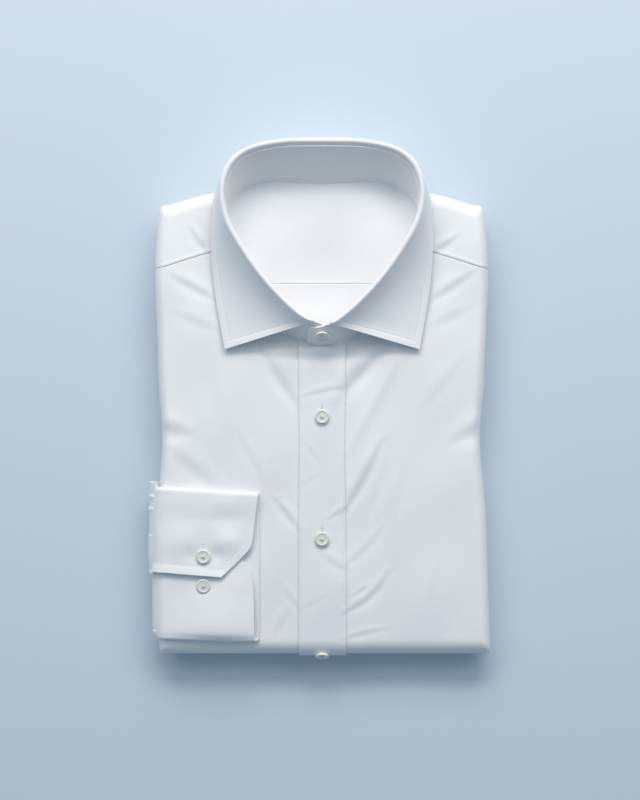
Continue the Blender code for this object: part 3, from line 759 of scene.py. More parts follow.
def along_line(points, pitch):
    """Points a pitch apart along a line of points, and the way the line runs at each."""
    lengths = np.linalg.norm(np.diff(points, axis=0), axis=-1)
    at = np.concatenate(([0.0], np.cumsum(lengths)))
    wanted = np.arange(pitch / 2, at[-1] - pitch / 4, pitch)
    ahead = read_columns(wanted + RUN_REACH, at, points)
    behind = read_columns(wanted - RUN_REACH, at, points)
    return read_columns(wanted, at, points), unit(ahead - behind), wanted / at[-1]


def add_stitches(bm, line, up, pitch=STITCH, shown=STITCH_SHOWN, thread=THREAD):
    """Lays stitches along a line of points, sunk half their height in the cloth. Up is the
    way that the cloth faces, one for each point of the line or one for all."""
    spots, runs, shares = along_line(line, pitch)
    ups = np.broadcast_to(up, line.shape)
    places = np.linspace(0, 1, len(line))
    for spot, run, share in zip(spots, runs, shares):
        normal = Vector(read_columns(share, places, ups))
        run = Vector(run)
        aside = normal.cross(run).normalized()
        turned = Matrix((run, aside, run.cross(aside))).transposed().to_4x4()
        size = Matrix.Diagonal((pitch * shown / 2, thread / 2, thread / 2, 1.0))
        where = Matrix.Translation(Vector(spot + MIDDLE))
        matrix = Matrix.Scale(MM, 4) @ where @ turned @ size
        bmesh.ops.create_icosphere(bm, subdivisions=1, radius=1.0, matrix=matrix)


def stitching(name, lines):
    """Rows of stitches as one piece. Each line is its points and the way its cloth faces."""
    bm = bmesh.new()
    for line, up in lines:
        add_stitches(bm, line, up)
    return piece(name, mesh_from(name, bm), white_thread, None)


SEAM_STITCH_INSET = 1.6  # the edge-stitching's distance from the shoulder seam


def shoulder_line(side):
    s, t = shoulder_columns(60, np.linspace(0.02, 0.5, 12)).T
    s, t = side * s, t + SEAM_STITCH_INSET / PANEL_LENGTH
    lifted = YOKE_SEAM_SWELL * np.maximum(facing(s, t)[:, 2], 0)
    return out(s, t, lifted), facing(s, t)


stitching("shoulder_stitching", [shoulder_line(side) for side in (-1, 1)])


# ================================================================ placket
# The button band: a doubled strip of poplin on the left front, over the right one. Its edges
# are stitched down close to the fold, and its buttonholes are cut and whipped with thread.

PLACKET_WIDTH = 35.6
PLACKET_TOP_Y = 40.4
PLACKET_TOP_RISE = 4.6
PLACKET_TURNS = PANEL_TURNS * 0.9
PLACKET_EDGE = (0.1, 1.3)  # height of the edge's turned fold, and how far in it lies
BUTTON_PRESS = (0.55, 7.5)  # how far a button presses the cloth in, and over what radius
PLACKET_BUTTONS_Y = (-12.6, -106.0)
SLIT_LENGTH = 13.0
SLIT_RISE = 4.2  # the slit's middle lies this far above its button


def placket_points():
    half = PLACKET_WIDTH / 2
    middle = np.linspace(-half + 3.7, half - 3.7, 27)
    x = np.concatenate((np.linspace(-half, -half + 3, 8), middle, np.linspace(half - 3, half, 8)))
    s, t_top = top_place(x, PLACKET_TOP_Y + PLACKET_TOP_RISE * (x / half) ** 2)
    share = np.linspace(0, 1, 190)[:, None]
    under = np.broadcast_to(-PLACKET_TURNS[::-1, None], (len(PLACKET_TURNS), len(s)))
    t = np.concatenate((under, share * t_top))
    s = np.broadcast_to(s, t.shape)
    points = out(s, t, GAP)
    y = points[..., 1]
    height, inset = PLACKET_EDGE
    from_edge = half - np.abs(np.broadcast_to(x, t.shape))
    rolled = np.exp(-((from_edge - 0.4) ** 2))
    lift = height * (rolled - np.exp(-(((from_edge - inset) / 0.5) ** 2)))
    deep, reach = BUTTON_PRESS
    for button_y in PLACKET_BUTTONS_Y:
        away = ((x / reach) ** 2 + ((y - button_y) / reach) ** 2) * np.where(t > 0, 1, 1e3)
        lift = lift - deep * np.exp(-1.5 * away)
    return out(s, t, GAP + lift)


placket = cloth(
    "placket_cloth", placket_points(), shirt_white, "placket", offset=1.0, edge=0.3
)


def placket_face(x, y):
    """Points on the placket's outer face, and the way that they face."""
    s, t = top_place(x, y)
    return out(s, t, GAP + CLOTH), facing(s, t)


def placket_stitch_line(side):
    y = np.linspace(-182.0, PLACKET_TOP_Y + 3.0, 120)
    x = np.full_like(y, side * (PLACKET_WIDTH / 2 - PLACKET_EDGE[1]))
    return placket_face(x, y)


stitching(
    "placket_stitching", [placket_stitch_line(side) for side in (-1, 1)]
)


def whipped_slit(bm, place, length, width=1.5):
    """A buttonhole: close whipping down both sides of a slit and a bar across each end. The
    place function gives points and facings at distances across and along the slit."""
    along = np.arange(-length / 2 + 0.5, length / 2 - 0.4, 0.36)
    rows = []
    for side in (-1, 1):
        for at in along:
            rows.append(((side * 0.18, at), (side * width / 2, at + 0.12)))
    for end in (-1, 1):
        for at in (0.0, 0.3, 0.6):
            y = end * (length / 2 - at)
            rows.append(((-width / 2, y), (width / 2, y)))
    for start, stop in rows:
        x, y = np.array((start, stop)).T
        line, up = place(x, y)
        reach = np.linalg.norm(line[1] - line[0])
        add_stitches(bm, line, up, pitch=reach, shown=1.1, thread=0.36)


def slit_in_placket(button_y):
    return lambda x, y: placket_face(x, y + button_y + SLIT_RISE)


def buttonholes(name, slits):
    bm = bmesh.new()
    for place, length in slits:
        whipped_slit(bm, place, length)
    return piece(name, mesh_from(name, bm), white_thread, None)


buttonholes(
    "placket_buttonholes", [(slit_in_placket(y), SLIT_LENGTH) for y in PLACKET_BUTTONS_Y]
)


# ================================================================ collar stand
# The neckband: two plies of poplin over a fused interlining, sewn round the neck edge. It
# stands up inside the fall, and its left end laps over the right one at the neck button.

ROLL = (  # the collar's top fold at each station of the neck
    (0.0, 194.4, 53.4),
    (30.0, 193.5, 53.4),
    (55.0, 187.7, 53.5),
    (69.0, 175.6, 53.6),
    (74.0, 157.0, 53.6),
    (71.0, 139.0, 53.2),
    (62.0, 121.0, 52.6),
    (45.5, 96.0, 51.5),
    (28.0, 76.0, 50.5),
    (11.0, 61.0, 49.6),
    (0.0, 57.5, 48.6),
)
FALL_ENDS = 9.5  # the station where the fall's front edge leaves the stand
FALL_START = 3.8  # the fall is sewn on this far below the roll
STAND_WALL = 1.5
STAND_TIP_DROP = 0.6
STAND_TIP_SLOPE = 0.34
OVERLAP = 11.0  # each end runs this far past the buttons' line
OVERLAP_APART = 2.3
STAND_STITCH = 4.2  # the edge-stitching's height above the neck seam
STAND_LEDGE = 0.55  # its top edge stands this far inside the fall that is sewn to it


def collar_line(table, station, side):
    points = np.stack([curve_through([row[k] for row in table], station) for k in range(3)], -1)
    points[..., 0] = FRONT_LINE_X + side * points[..., 0]
    return points


def stand_frame(station, side):
    """Foot and top of the collar at stations, the way up it and the way out of it. Near the
    front the two ends part, so that one can lap over the other."""
    neck = neck_xy(station)
    sunk = -CLOTH - GAP - 0.6 + (CLOTH + 2 * GAP + 0.6 + STAND_WALL * 0.55) * at_front(station)
    foot = out(*top_place(side * neck[..., 0], neck[..., 1]), sunk)
    roll = collar_line(ROLL, station, side)
    rise = unit(roll - foot)
    front = np.stack((np.zeros_like(station), -rise[..., 2], rise[..., 1]), -1)
    apart = side * OVERLAP_APART / 2 * ease((station - CENTRE_FRONT + 1.4) / 1.1)
    lap = front * apart[..., None]
    return foot + lap, roll + lap, rise, front


def around_neck(half):
    """Stations and sides from one front end round the back to the other."""
    stations = np.concatenate((half[:0:-1], half))
    sides = np.concatenate((np.full(len(half) - 1, -1.0), np.ones(len(half))))
    return stations, sides


def ridge(distance, centre, width, height):
    return height * np.exp(-(((distance - centre) / width) ** 2))


def stand_points():
    half = np.concatenate((np.linspace(0, FALL_ENDS, 130), np.linspace(9.56, CENTRE_FRONT, 8)))
    stations, sides = around_neck(half)
    past = np.linspace(0, OVERLAP, 14)[1:]
    stations = np.concatenate((np.full(13, CENTRE_FRONT), stations, np.full(13, CENTRE_FRONT)))
    sides = np.concatenate((-np.ones(13), sides, np.ones(13)))
    past_x = np.concatenate((past[::-1], np.zeros(len(stations) - 26), past))
    foot, roll, rise, _ = stand_frame(stations, sides)
    tip = curve_through([row[0] for row in ROLL], np.array(FALL_ENDS))
    from_fall = tip - curve_through([row[0] for row in ROLL], stations) + past_x
    lower = STAND_TIP_DROP + STAND_TIP_SLOPE * from_fall
    below = np.where(stations > FALL_ENDS, lower, FALL_START + GAP)
    top = roll - rise * below[:, None]
    share = np.concatenate((np.linspace(0, 0.16, 9), np.linspace(0.2, 1.0, 18)))[:, None, None]
    points = foot + (top - foot) * share
    points[..., 0] -= sides * past_x
    points[..., 1] += 0.02 * past_x**2
    # The far corner of each end is cut round.
    rounding = np.sqrt(np.maximum(1 - share[..., 0] ** 4, 0)) - 1
    points[..., 0] -= sides * rounding * 3.0 * (past_x / OVERLAP) ** 2
    return points


def lifted(points, amount):
    """Points of a grid moved out from its face by an amount each."""
    return points + grid_facing(points) * amount[..., None]


def grid_facing(points):
    return unit(np.cross(np.gradient(points, axis=1), np.gradient(points, axis=0)))


# The stand's poplin is painted whiter than the shirt's other cloth. This is painted light that brightens
# the stand's inner face, which lies in shade.
stand_poplin_painted_light = poplin("band_poplin_painted_light", white=(0.93, 0.925, 0.93, 1.0), shaded=(0.89, 0.885, 0.9, 1.0))
stand_grid = stand_points()
stand_height = np.linalg.norm(stand_grid - stand_grid[:1], axis=-1)
stand_relief = ridge(stand_height, STAND_STITCH, 0.5, -0.1)
stand_share = stand_height / stand_height[-1]
stand_relief = stand_relief + STAND_LEDGE * ease((stand_share - 0.8) / 0.2)
stand = cloth(
    "collar_stand_cloth",
    lifted(stand_grid, stand_relief),
    stand_poplin_painted_light,
    "collar_stand",
    wall=STAND_WALL,
    offset=0.0,
    edge=0.5,
)


def stand_stitch_line(way):
    """The stitching round the stand's foot, on its inner face or, where way is 1, its outer."""
    height = STAND_STITCH / np.linalg.norm(stand_grid[-1] - stand_grid[0], axis=-1)[:, None]
    line = stand_grid[0] + (stand_grid[-1] - stand_grid[0]) * height
    faces = grid_facing(stand_grid)[0]
    return line + way * faces * (STAND_WALL / 2 - 0.1), way * faces


stitching("stand_stitching", [stand_stitch_line(way) for way in (-1, 1)])


# ================================================================ collar fall
# The fall is two plies of poplin over a stiff fused interlining, turned out and pressed, so
# that its points are square. It rolls over the stand and is topstitched all round its edge.

EDGE = (  # the fall's free edge at each station, and how far it bows above a straight leaf
    (0.0, 176.0, 15.0, 2.0),
    (33.0, 175.5, 15.5, 2.0),
    (61.0, 173.5, 19.0, 2.0),
    (76.0, 169.0, 25.0, 1.5),
    (81.5, 156.0, 30.6, 1.0),
    (83.4, 133.0, 32.3, 0.5),
    (83.6, 109.0, 32.3, -1.0),
    (81.5, 84.0, 32.1, -3.0),
    (78.0, 61.0, 31.9, -4.2),
    (75.4, 46.5, 31.9, -4.0),
    (72.6, 30.5, 32.1, -0.8),
)
FALL_WALL = 1.4
ROLL_RADIUS = 1.6
ROLL_END_RADIUS = 1.2
FALL_BAND = 4.8  # from the edge to the topstitching
INNER_ROWS = 5
ROLL_ROWS = 14
LEAF_ROW = INNER_ROWS + ROLL_ROWS
LEAF_FINE = 7.5  # the leaf's rows lie closer this near to its edge
FAR = 99.0  # past the reach of any margin


def fall_points():
    spread = np.concatenate((np.linspace(0, 8.9, 128), np.linspace(8.94, FALL_ENDS, 18)))
    stations, sides = around_neck(spread)
    _, roll, rise, _ = stand_frame(stations, sides)
    edge = collar_line(EDGE, stations, sides)
    outward = edge - roll
    outward = unit(outward - rise * (outward * rise).sum(-1, keepdims=True))
    radius = ROLL_RADIUS + (ROLL_END_RADIUS - ROLL_RADIUS) * ease(stations - FALL_ENDS + 1)
    radius = radius[:, None]
    centre = roll + (outward - rise) * radius
    inner = [roll - rise * below for below in np.linspace(FALL_START, 2.6, INNER_ROWS)]
    turned = []
    for turn in math.pi * 0.9 * np.linspace(0, 1, ROLL_ROWS):
        turned.append(centre + radius * (rise * math.sin(turn) - outward * math.cos(turn)))
    leave, leaf = turned[-1], []
    bow = curve_through([row[3] for row in EDGE], stations)
    near_edge = 1 - LEAF_FINE / np.linalg.norm(edge - leave, axis=-1)
    spaced = np.concatenate((np.linspace(0, 1, 36)[1:-1], np.linspace(1, 2, 28)))
    for share in spaced:
        share = np.where(share < 1, share * near_edge, near_edge + (share - 1) * (1 - near_edge))
        lift = bow * np.sin(math.pi * share**0.62)
        point = leave + (edge - leave) * share[:, None]
        point[:, 2] += lift
        leaf.append(point)
    return np.array(inner + turned + leaf)


def from_ends(points):
    """How far each point of a grid lies from its last row, its first column and its last."""
    down = np.linalg.norm(np.diff(points, axis=0), axis=-1)
    across = np.linalg.norm(np.diff(points, axis=1), axis=-1)
    to_edge = np.concatenate((np.cumsum(down[::-1], axis=0)[::-1], np.zeros((1, points.shape[1]))))
    zeros = np.zeros((len(points), 1))
    from_first = np.concatenate((zeros, np.cumsum(across, axis=1)), 1)
    to_last = np.concatenate((np.cumsum(across[:, ::-1], axis=1)[:, ::-1], zeros), 1)
    return to_edge, from_first, to_last


def margin_relief(distance, band):
    """A turned edge is thicker where its seam allowance lies, up to the stitches that sink."""
    return 0.14 * ease((band - distance) / 1.2) - 0.14 * np.exp(-(((distance - band) / 0.6) ** 2))


def line_inside(points, faces, inset, both_ends):
    """The line at a distance inside a grid's last row and its last column, and its first
    column too where both ends are cut, with the way that the cloth faces along it."""
    values = np.concatenate((points, faces), -1)
    to_edge, from_first, to_last = from_ends(points)
    first, middle, last = [], [], []
    for row, from_start, to_end, row_edge in zip(values, from_first, to_last, to_edge):
        if both_ends and np.interp(inset, from_start, row_edge) > inset:
            first.append(read_columns(inset, from_start, row))
        if np.interp(inset, to_end[::-1], row_edge[::-1]) > inset:
            last.append(read_columns(inset, to_end[::-1], row[::-1]))
    for column, from_start, to_end, column_edge in zip(
        values.swapaxes(0, 1), from_first.T, to_last.T, to_edge.T
    ):
        start = np.interp(inset, column_edge[::-1], from_start[::-1])
        end = np.interp(inset, column_edge[::-1], to_end[::-1])
        if end > inset and (start > inset or not both_ends):
            middle.append(read_columns(inset, column_edge[::-1], column[::-1]))
    line = np.array(first + middle + last[::-1])
    return line[:, :3], unit(line[:, 3:])


fall_grid = fall_points()
fall_reach = from_ends(fall_grid)
on_leaf = np.arange(len(fall_grid))[:, None] > LEAF_ROW
fall_margin = np.where(on_leaf, np.minimum(fall_reach[0], np.minimum(*fall_reach[1:])), FAR)
fall_grid = lifted(fall_grid, margin_relief(fall_margin, FALL_BAND))
fall = cloth(
    "collar_fall_cloth", fall_grid, shirt_white, "collar_fall", wall=FALL_WALL, offset=0.0, edge=0.55
)
leaf_grid = fall_grid[LEAF_ROW - 2 :]
leaf_faces = grid_facing(leaf_grid)
fall_line, fall_up = line_inside(leaf_grid, leaf_faces, FALL_BAND, both_ends=True)
stitching(
    "fall_stitching", [(fall_line + fall_up * (FALL_WALL / 2), fall_up)]
)


# ================================================================ sleeve
# The right sleeve, pressed flat, comes round the side of the fold from beneath. Its cloth is
# laid into small pleats where the cuff takes it in, and they show as steps along the side.

CUFF_SEAM_TURN = 0.28  # the cuff reaches this far round the side's nose, in half turns
SLEEVE_GAP_TURN = 0.002
SLEEVE_PLY = 2.4
SLEEVE_WRAP = 0.74
SLEEVE_LOW_Y = -180.0
SLEEVE_HIGH_Y = -63.0
SLEEVE_SWELL = (  # y, and how far the sleeve swells past the cuff
    (-180.0, 1.0),
    (-174.0, 1.7),
    (-150.0, 1.5),
    (-136.0, 1.5),
    (-131.5, 3.2),
    (-118.0, 4.2),
    (-108.0, 4.0),
    (-104.0, 3.4),
    (-94.0, 3.5),
    (-85.0, 3.9),
    (-76.0, 3.9),
    (-69.0, 4.6),
    (-63.0, 5.4),
)
SLEEVE_PLEATS = (-177.5, -131.8, -104.4, -83.6, -74.0)  # y of each pleat's fold
PLEAT_STEP = 0.75
PLEAT_REACH = 9.0


def sleeve_points():
    turns = np.linspace(SLEEVE_WRAP, CUFF_SEAM_TURN + SLEEVE_GAP_TURN, 26)
    y = np.unique(
        np.concatenate(
            [np.linspace(SLEEVE_LOW_Y, SLEEVE_HIGH_Y, 120)]
            + [pleat + np.array((-0.5, -0.2, 0.0, 0.2, 0.5)) for pleat in SLEEVE_PLEATS]
        )
    )
    _, t = top_place(SIDE_NOSE - half_width(y, -1), y)
    reach = np.sin(math.pi * np.linspace(1, 0.13, 26)) ** 0.8
    swell = read_table(SLEEVE_SWELL, 1, y)[:, None] * reach
    for number, pleat in enumerate(SLEEVE_PLEATS):
        behind = (y - pleat)[:, None] / PLEAT_REACH
        step = np.where(behind < 0, np.exp(behind * 3), np.exp(-behind * 22))
        swell = swell + PLEAT_STEP * (1 + 0.3 * math.sin(2.1 * number)) * step * reach**0.3
    return out(-1 - turns, t[:, None], GAP + swell, creased=False)


sleeve = cloth(
    "sleeve_cloth",
    sleeve_points(),
    shirt_white,
    "sleeve",
    wall=SLEEVE_PLY,
    offset=1.0,
    edge=0.8,
)


# ================================================================ cuff
# The right cuff: two plies of poplin over an interlining, wound flat and buttoned. Its upper
# end has a cut corner and is topstitched, and the cloth puffs softly between its buttons.

CUFF_PLY = 1.3
CUFF_GAP = 0.45
CUFF_BACK_X = -48.0
CUFF_FLAP = (  # y at the sleeve, y at the cut edge, x of the cut edge
    (-131.2, -134.8, -76.7),
    (-128.5, -132.2, -73.6),
    (-120.5, -124.2, -65.4),
    (-110.4, -115.6, -57.0),
    (-107.5, -113.2, -55.2),
    (-105.0, -110.6, -53.8),
    (-101.0, -107.0, -53.0),
    (-88.0, -94.0, -51.6),
    (-77.5, -83.0, -50.2),
    (-69.0, -73.0, -48.8),
)
CUFF_UNDERLAP = (  # y at the sleeve, y at the cut edge, x of the cut edge
    (-180.6, -182.6, -51.4),
    (-164.0, -165.0, -52.0),
    (-148.0, -148.0, -52.4),
    (-137.0, -137.0, -53.2),
    (-131.0, -131.0, -54.8),
    (-126.0, -126.0, -57.6),
    (-120.0, -120.0, -63.0),
    (-111.0, -111.0, -74.0),
)
CUFF_PUFFS = (  # x and y of the middle, half widths, and height
    (-107.0, -77.5, 16.0, 7.5, 0.9),
    (-73.5, -78.5, 14.0, 7.5, 0.9),
    (-90.0, -91.0, 40.0, 5.0, -0.4),
    (-110.5, -107.0, 12.5, 10.0, 1.9),
    (-72.5, -107.5, 11.5, 10.0, 1.9),
    (-100.2, -118.0, 5.5, 6.5, -1.0),
    (-80.8, -118.0, 5.5, 6.5, -1.0),
    (-112.0, -120.0, 5.0, 8.0, 0.3),
    (-90.4, -119.0, 7.5, 7.5, -0.6),
)
UNDERLAP_PUFFS = (
    (-88.0, -177.0, 46.0, 31.0, 6.0),
    (-112.0, -146.0, 8.0, 12.0, -0.4),
    (-90.4, -141.6, 7.0, 6.0, -0.9),
    (-64.0, -140.0, 9.0, 9.0, 0.3),
)
UNDERLAP_ROUND = 7.5  # the underlap rounds down to its fold over this far
CUFF_BAND = 6.6
FLAP_RISE = 0.7  # how far the flap's end stands off the ply beneath
FLAP_RISE_REACH = 14.0
FLAP_CURL = 1.1  # and how far its stitched edge curls up
FLAP_ROWS = 64
UNDERLAP_ROWS = 60
BEHIND_ROWS = slice(72, 122)
CUT_STITCH_COLUMN = -3
CUFF_BUTTON = (-90.4, -119.0)
CUFF_SLIT_RISE = 3.8
CUFF_TURNS = np.linspace(CUFF_SEAM_TURN, 0.02, 12)


def denser(table, count):
    """A table with straight stretches between its rows, read at even steps."""
    at = np.linspace(0, len(table) - 1, count)
    return read_columns(at, range(len(table)), table)


def cuff_section():
    """y at the sleeve, y at the cut edge, x of the cut edge and offset, round the wound cuff
    from the flap's end to the underlap's end."""
    pitch = CUFF_PLY + CUFF_GAP
    back = GAP + CUFF_PLY / 2
    under, flap = back + pitch, back + 2 * pitch
    upper, lower = denser(CUFF_FLAP, FLAP_ROWS), denser(CUFF_UNDERLAP, UNDERLAP_ROWS)
    high, low = upper[-1], lower[0]
    turn = math.pi * np.linspace(0, 1, 10)[1:-1, None]
    over = np.concatenate(
        (
            high[:2] + pitch * np.sin(turn),
            high[2] + (CUFF_BACK_X - high[2]) * (1 - np.cos(turn)) / 2,
            under + pitch * np.cos(turn),
        ),
        1,
    )
    share = np.linspace(0, 1, 50)[:, None]
    flat = np.broadcast_to((CUFF_BACK_X, back), (50, 2))
    behind = np.concatenate((high[:2] + (low[:2] - high[:2]) * share, flat), 1)
    up = 1 - np.cos(turn)
    beneath = np.concatenate(
        (
            low[:2] - pitch * np.sin(turn),
            CUFF_BACK_X + (low[2] - CUFF_BACK_X) * up / 2,
            back + pitch / 2 * up,
        ),
        1,
    )
    flap_rows = np.concatenate((upper, np.full((len(upper), 1), flap)), 1)
    under_rows = np.concatenate((lower, np.full((len(lower), 1), under)), 1)
    return np.concatenate((flap_rows, over, behind, beneath, under_rows))


def puffed(table, x, y):
    total = np.zeros(np.broadcast(x, y).shape)
    for middle_x, middle_y, across, along, height in table:
        away = ((x - middle_x) / across) ** 2 + ((y - middle_y) / along) ** 2
        total += height * np.exp(-1.2 * away)
    return total


def cuff_points():
    section = cuff_section()
    y, cut_y, cut_x, offset = (column[:, None] for column in section.T)
    share = np.concatenate((np.zeros(len(CUFF_TURNS)), np.linspace(0, 1, 74)))
    start = SIDE_NOSE - half_width(y, -1)
    x = start + (cut_x - start) * share
    s, t = top_place(x, y + (cut_y - y) * share)
    turned = np.zeros(len(share))
    turned[: len(CUFF_TURNS)] = CUFF_TURNS
    s = np.where(turned > 0, -1 - turned, s)
    y_here = y + (cut_y - y) * share
    row = np.arange(len(section))[:, None]
    on_flap, past_behind = row < FLAP_ROWS, row >= BEHIND_ROWS.stop
    lift = np.where(on_flap, puffed(CUFF_PUFFS, x, y_here), 0.0)
    from_fold = np.clip((y_here - y_here[-UNDERLAP_ROWS]) / UNDERLAP_ROUND, 0.0, 1.0)
    rounded = 0.5 + 0.5 * np.sqrt(1 - (1 - from_fold) ** 2)
    raised = np.clip((offset - GAP - CUFF_PLY / 2) / (CUFF_PLY + CUFF_GAP), 0.0, 1.0)
    swelling = puffed(UNDERLAP_PUFFS, x, y_here) * rounded * raised
    lift = lift + np.where(past_behind, swelling, 0.0)
    calm = ease((1.5 - turned * 4) / 1.5) * np.minimum(1.0, 0.35 + share)
    from_end = y_here - (y[0] + (cut_y[0] - y[0]) * share)
    lift = lift + FLAP_RISE * np.where(on_flap, ease(1 - from_end / FLAP_RISE_REACH), 0.0)
    return out(s, t, offset + lift * calm)


cuff_grid = cuff_points()
steps = np.linalg.norm(np.diff(cuff_grid, axis=0), axis=-1)
from_flap_end = np.concatenate((np.zeros((1, cuff_grid.shape[1])), np.cumsum(steps, axis=0)))
on_flap = np.arange(len(cuff_grid))[:, None] < FLAP_ROWS
flap_margin = np.where(on_flap, np.minimum(from_flap_end, from_ends(cuff_grid)[2]), FAR)
flap_curl = np.where(on_flap, FLAP_CURL * np.maximum(1 - from_flap_end / CUFF_BAND, 0.0), 0.0)
cuff = cloth(
    "cuff_cloth",
    lifted(cuff_grid, margin_relief(flap_margin, CUFF_BAND) + flap_curl),
    shirt_white,
    "cuff",
    wall=CUFF_PLY,
    offset=0.0,
    edge=0.5,
)

flap_grid = cuff_grid[:FLAP_ROWS][::-1]
flap_faces = grid_facing(cuff_grid)[:FLAP_ROWS][::-1]
flap_line, flap_up = line_inside(flap_grid, flap_faces, CUFF_BAND, both_ends=False)
cut_up = -grid_facing(cuff_grid)[BEHIND_ROWS, CUT_STITCH_COLUMN]
cut_line = cuff_grid[BEHIND_ROWS, CUT_STITCH_COLUMN] + cut_up * (CUFF_PLY / 2)
stitching(
    "cuff_stitching", [(flap_line + flap_up * (CUFF_PLY / 2), flap_up), (cut_line, cut_up)]
)


def cuff_slit(x, y):
    """Points on the flap's face round its buttonhole, from distances across and along it."""
    s, t = top_place(CUFF_BUTTON[0] + x, CUFF_BUTTON[1] + CUFF_SLIT_RISE + y)
    height = GAP + 3 * CUFF_PLY + 2 * CUFF_GAP
    height = height + puffed(CUFF_PUFFS, CUFF_BUTTON[0] + x, CUFF_BUTTON[1] + CUFF_SLIT_RISE + y)
    return out(s, t, height), facing(s, t)


buttonholes("cuff_buttonhole", [(cuff_slit, 13.0)])


# ================================================================ buttons
# Turned pearl-white buttons with a raised rim, a dished middle and four holes, each sewn on
# with a cross of white thread.

BUTTON_HEIGHT = 2.6
DISH_RADIUS = 3.5
DISH_DEPTH = 0.36
HOLE_RADIUS = 0.4
HOLE_REACH = 0.95
BUTTON_SUNK = 0.6  # how far its thread pulls it into the cloth
LEVEL = 1e-6  # edges whose ends differ in height by less are level
BUTTON_EDGE = (  # radius and height, from the dish's floor over the rim and under it
    (3.75, -0.34),
    (4.0, -0.12),
    (4.3, -0.02),
    (4.6, 0.0),
    (4.95, -0.1),
    (5.25, -0.38),
    (5.4, -0.85),
    (5.25, -1.4),
    (4.7, -2.0),
    (3.9, -2.6),
)


def pearl():
    """Pearl-white resin with a soft cloud under its polish."""
    finish = Finish("pearl_button", roughness=0.34, coat_weight=0.35, coat_roughness=0.2)
    place = finish.node("TexCoord", "Object", {}, {})
    cloud = finish.noise(place, 420.0, 4.0)
    stops = ((0.3, (0.70, 0.715, 0.65, 1.0)), (0.7, (0.86, 0.865, 0.80, 1.0)))
    colour = finish.node("ValToRGB", "Color", {"stops": stops}, {"Fac": cloud})
    rings = finish.noise(place, 1500.0)
    bump = finish.bump(rings, 0.15, 5e-5)
    return finish.surface(base_color=colour, normal=bump)


def hole_spots():
    reach = HOLE_REACH
    return [Vector((x * reach, y * reach, 0)) for x, y in ((1, 1), (-1, 1), (-1, -1), (1, -1))]


def button_mesh(name, frame_matrix):
    """A button turned about its own axis, its top at BUTTON_HEIGHT, and then put in place."""
    bm = bmesh.new()
    floor_z = BUTTON_HEIGHT - DISH_DEPTH
    lift = Matrix.Translation((0, 0, floor_z))
    rim = bmesh.ops.create_circle(bm, segments=36, radius=DISH_RADIUS, matrix=lift)["verts"]
    holes = []
    for spot in hole_spots():
        made = bmesh.ops.create_circle(
            bm, segments=10, radius=HOLE_RADIUS, matrix=lift @ Matrix.Translation(spot)
        )
        holes += made["verts"]
    hole_edges = [edge for edge in bm.edges if edge.verts[0] in holes]
    rim_edges = [edge for edge in bm.edges if edge.verts[0] in rim]
    bmesh.ops.triangle_fill(bm, use_beauty=True, edges=bm.edges[:])
    radius = DISH_RADIUS
    for next_radius, drop in BUTTON_EDGE:
        made = bmesh.ops.extrude_edge_only(bm, edges=rim_edges)["geom"]
        for vert in of_kind(made, bmesh.types.BMVert):
            vert.co.xy *= next_radius / radius
            vert.co.z = BUTTON_HEIGHT + drop
        rim_edges = of_kind(made, bmesh.types.BMEdge)
        rim_edges = [
            edge for edge in rim_edges if abs(edge.verts[0].co.z - edge.verts[1].co.z) < LEVEL
        ]
        radius = next_radius
    made = bmesh.ops.extrude_edge_only(bm, edges=hole_edges)["geom"]
    for vert in of_kind(made, bmesh.types.BMVert):
        vert.co.z = 0.0
    walls = of_kind(made, bmesh.types.BMEdge)
    bottom = [edge for edge in walls if edge.verts[0].co.z + edge.verts[1].co.z < LEVEL]
    bmesh.ops.triangle_fill(bm, use_beauty=True, edges=bottom + rim_edges)
    bmesh.ops.recalc_face_normals(bm, faces=bm.faces)
    bmesh.ops.transform(bm, matrix=frame_matrix, verts=bm.verts)
    return mesh_from(name, bm)


def cross_thread(bm, frame_matrix):
    """Three strands from hole to hole each way, crossing over the button's middle."""
    for number, (start, end) in enumerate(((0, 2), (1, 3))):
        a, b = hole_spots()[start], hole_spots()[end]
        aside = (b - a).cross(Vector((0, 0, 1))).normalized()
        for strand in (-1, 0, 1):
            arch = []
            for share in np.linspace(0, 1, 7):
                rise = BUTTON_HEIGHT - DISH_DEPTH - 0.2 + (0.75 + 0.35 * number) * math.sin(math.pi * share)
                arch.append(a.lerp(b, share) + aside * 0.44 * strand + Vector((0, 0, rise)))
            for first, second in zip(arch, arch[1:]):
                middle, run = (first + second) / 2, (second - first)
                turned = run.to_track_quat("X", "Z").to_matrix().to_4x4()
                size = Matrix.Diagonal((run.length * 0.62, 0.3, 0.3, 1.0))
                matrix = frame_matrix @ Matrix.Translation(middle) @ turned @ size
                bmesh.ops.create_icosphere(bm, subdivisions=1, radius=1.0, matrix=matrix)


pearl_finish = pearl()


def sewn_button(node):
    """A button in the place of its CAD node, facing the way that the node does."""
    low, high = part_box(node)
    verts = [vert.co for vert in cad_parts[node].data.vertices]
    centre = sum(verts, Vector()) / len(verts)
    spread = np.cov((np.array(verts) - np.array(centre)).T)
    axis = Vector(np.linalg.eigh(spread)[1][:, 0])
    if axis.dot(Vector((0, -0.4, 1))) < 0:
        axis.negate()
    lowest = min((vert - centre).dot(axis) for vert in verts) - BUTTON_SUNK * MM
    turned = axis.to_track_quat("Z", "Y").to_matrix().to_4x4()
    middle = (low + high) / 2
    base = middle + axis * (lowest + (centre - middle).dot(axis))
    matrix = Matrix.Translation(base) @ turned @ Matrix.Scale(MM, 4)
    made = piece(f"{node}_pearl", button_mesh(node, matrix), pearl_finish, node)
    made.data.set_sharp_from_angle(angle=math.radians(40))
    bm = bmesh.new()
    cross_thread(bm, matrix)
    piece(f"{node}_thread", mesh_from(f"{node}_thread", bm), white_thread, None)


for node in sorted(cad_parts):
    if node.startswith("button_"):
        sewn_button(node)


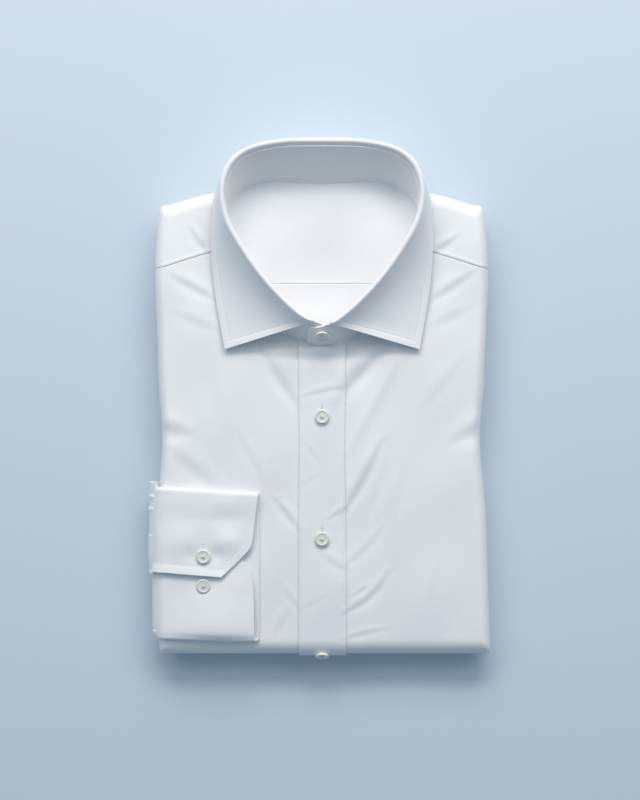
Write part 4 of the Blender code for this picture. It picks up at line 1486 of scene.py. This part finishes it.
# ================================================================ floor, light and camera
# A pale blue paper floor under two wide soft lights from beyond the collar and one from each
# side, in a dim and even surround. The camera looks straight down at the middle of the shirt.

FLOOR_COLOUR = (0.585, 0.684, 0.774, 1.0)
FLOOR_HALF = 2.5  # metres, as are the places and sizes of the lights and the camera
LAMP_COLOUR = (1.07, 1.0, 0.935)
SIDE_LAMP = (1.2, 0.9, 1.28)
SIDE_LAMP_SIZE = (0.8, 0.8)
SIDE_LAMP_POWER = 5.7
CAMERA_PLACE = (-0.00055, 0.0031, 1.25)
CAMERA_LENS = 72.0


def floor_finish():
    finish = Finish("pale_blue_paper", roughness=0.9)
    place = finish.node("TexCoord", "Object", {}, {})
    grain = finish.noise(place, 900.0, 3.0)
    bump = finish.bump(grain, 0.15, 1e-4)
    return finish.surface(base_color=FLOOR_COLOUR, normal=bump)


def floor():
    bm = bmesh.new()
    bmesh.ops.create_grid(bm, x_segments=4, y_segments=4, size=FLOOR_HALF)
    made = placed("floor", mesh_from("floor", bm))
    made.data.materials.append(floor_finish())


def lamp(name, place, size, power):
    """A soft rectangular light that faces the middle of the shirt."""
    light = bpy.data.lights.new(name, "AREA")
    light.shape = "RECTANGLE"
    light.size, light.size_y = size
    light.energy = power
    light.color = LAMP_COLOUR
    made = placed(name, light)
    made.location = place
    made.rotation_mode = "QUATERNION"
    made.rotation_quaternion = (-made.location).to_track_quat("-Z", "Y")


def surroundings(colour, strength):
    world = bpy.data.worlds.new("studio")
    world.use_nodes = True
    background = world.node_tree.nodes["Background"]
    background.inputs["Color"].default_value = colour
    background.inputs["Strength"].default_value = strength
    bpy.context.scene.world = world


def camera(place, lens):
    shot = bpy.data.cameras.new("camera")
    shot.lens = lens
    shot.clip_start = 0.05
    made = placed("camera", shot)
    made.location = place
    bpy.context.scene.camera = made


floor()
lamp("key", (0.0, 1.7, 1.05), (1.4, 0.6), 17.0)
lamp("strip", (0.0, 2.0, 1.6), (2.6, 0.5), 27.0)
for name, side in (("left", -1), ("right", 1)):
    lamp(name, (side * SIDE_LAMP[0], *SIDE_LAMP[1:]), SIDE_LAMP_SIZE, SIDE_LAMP_POWER)
surroundings((0.77, 1.0, 1.225, 1.0), 0.27)
camera(CAMERA_PLACE, CAMERA_LENS)
bpy.context.scene.view_settings.view_transform = "Standard"
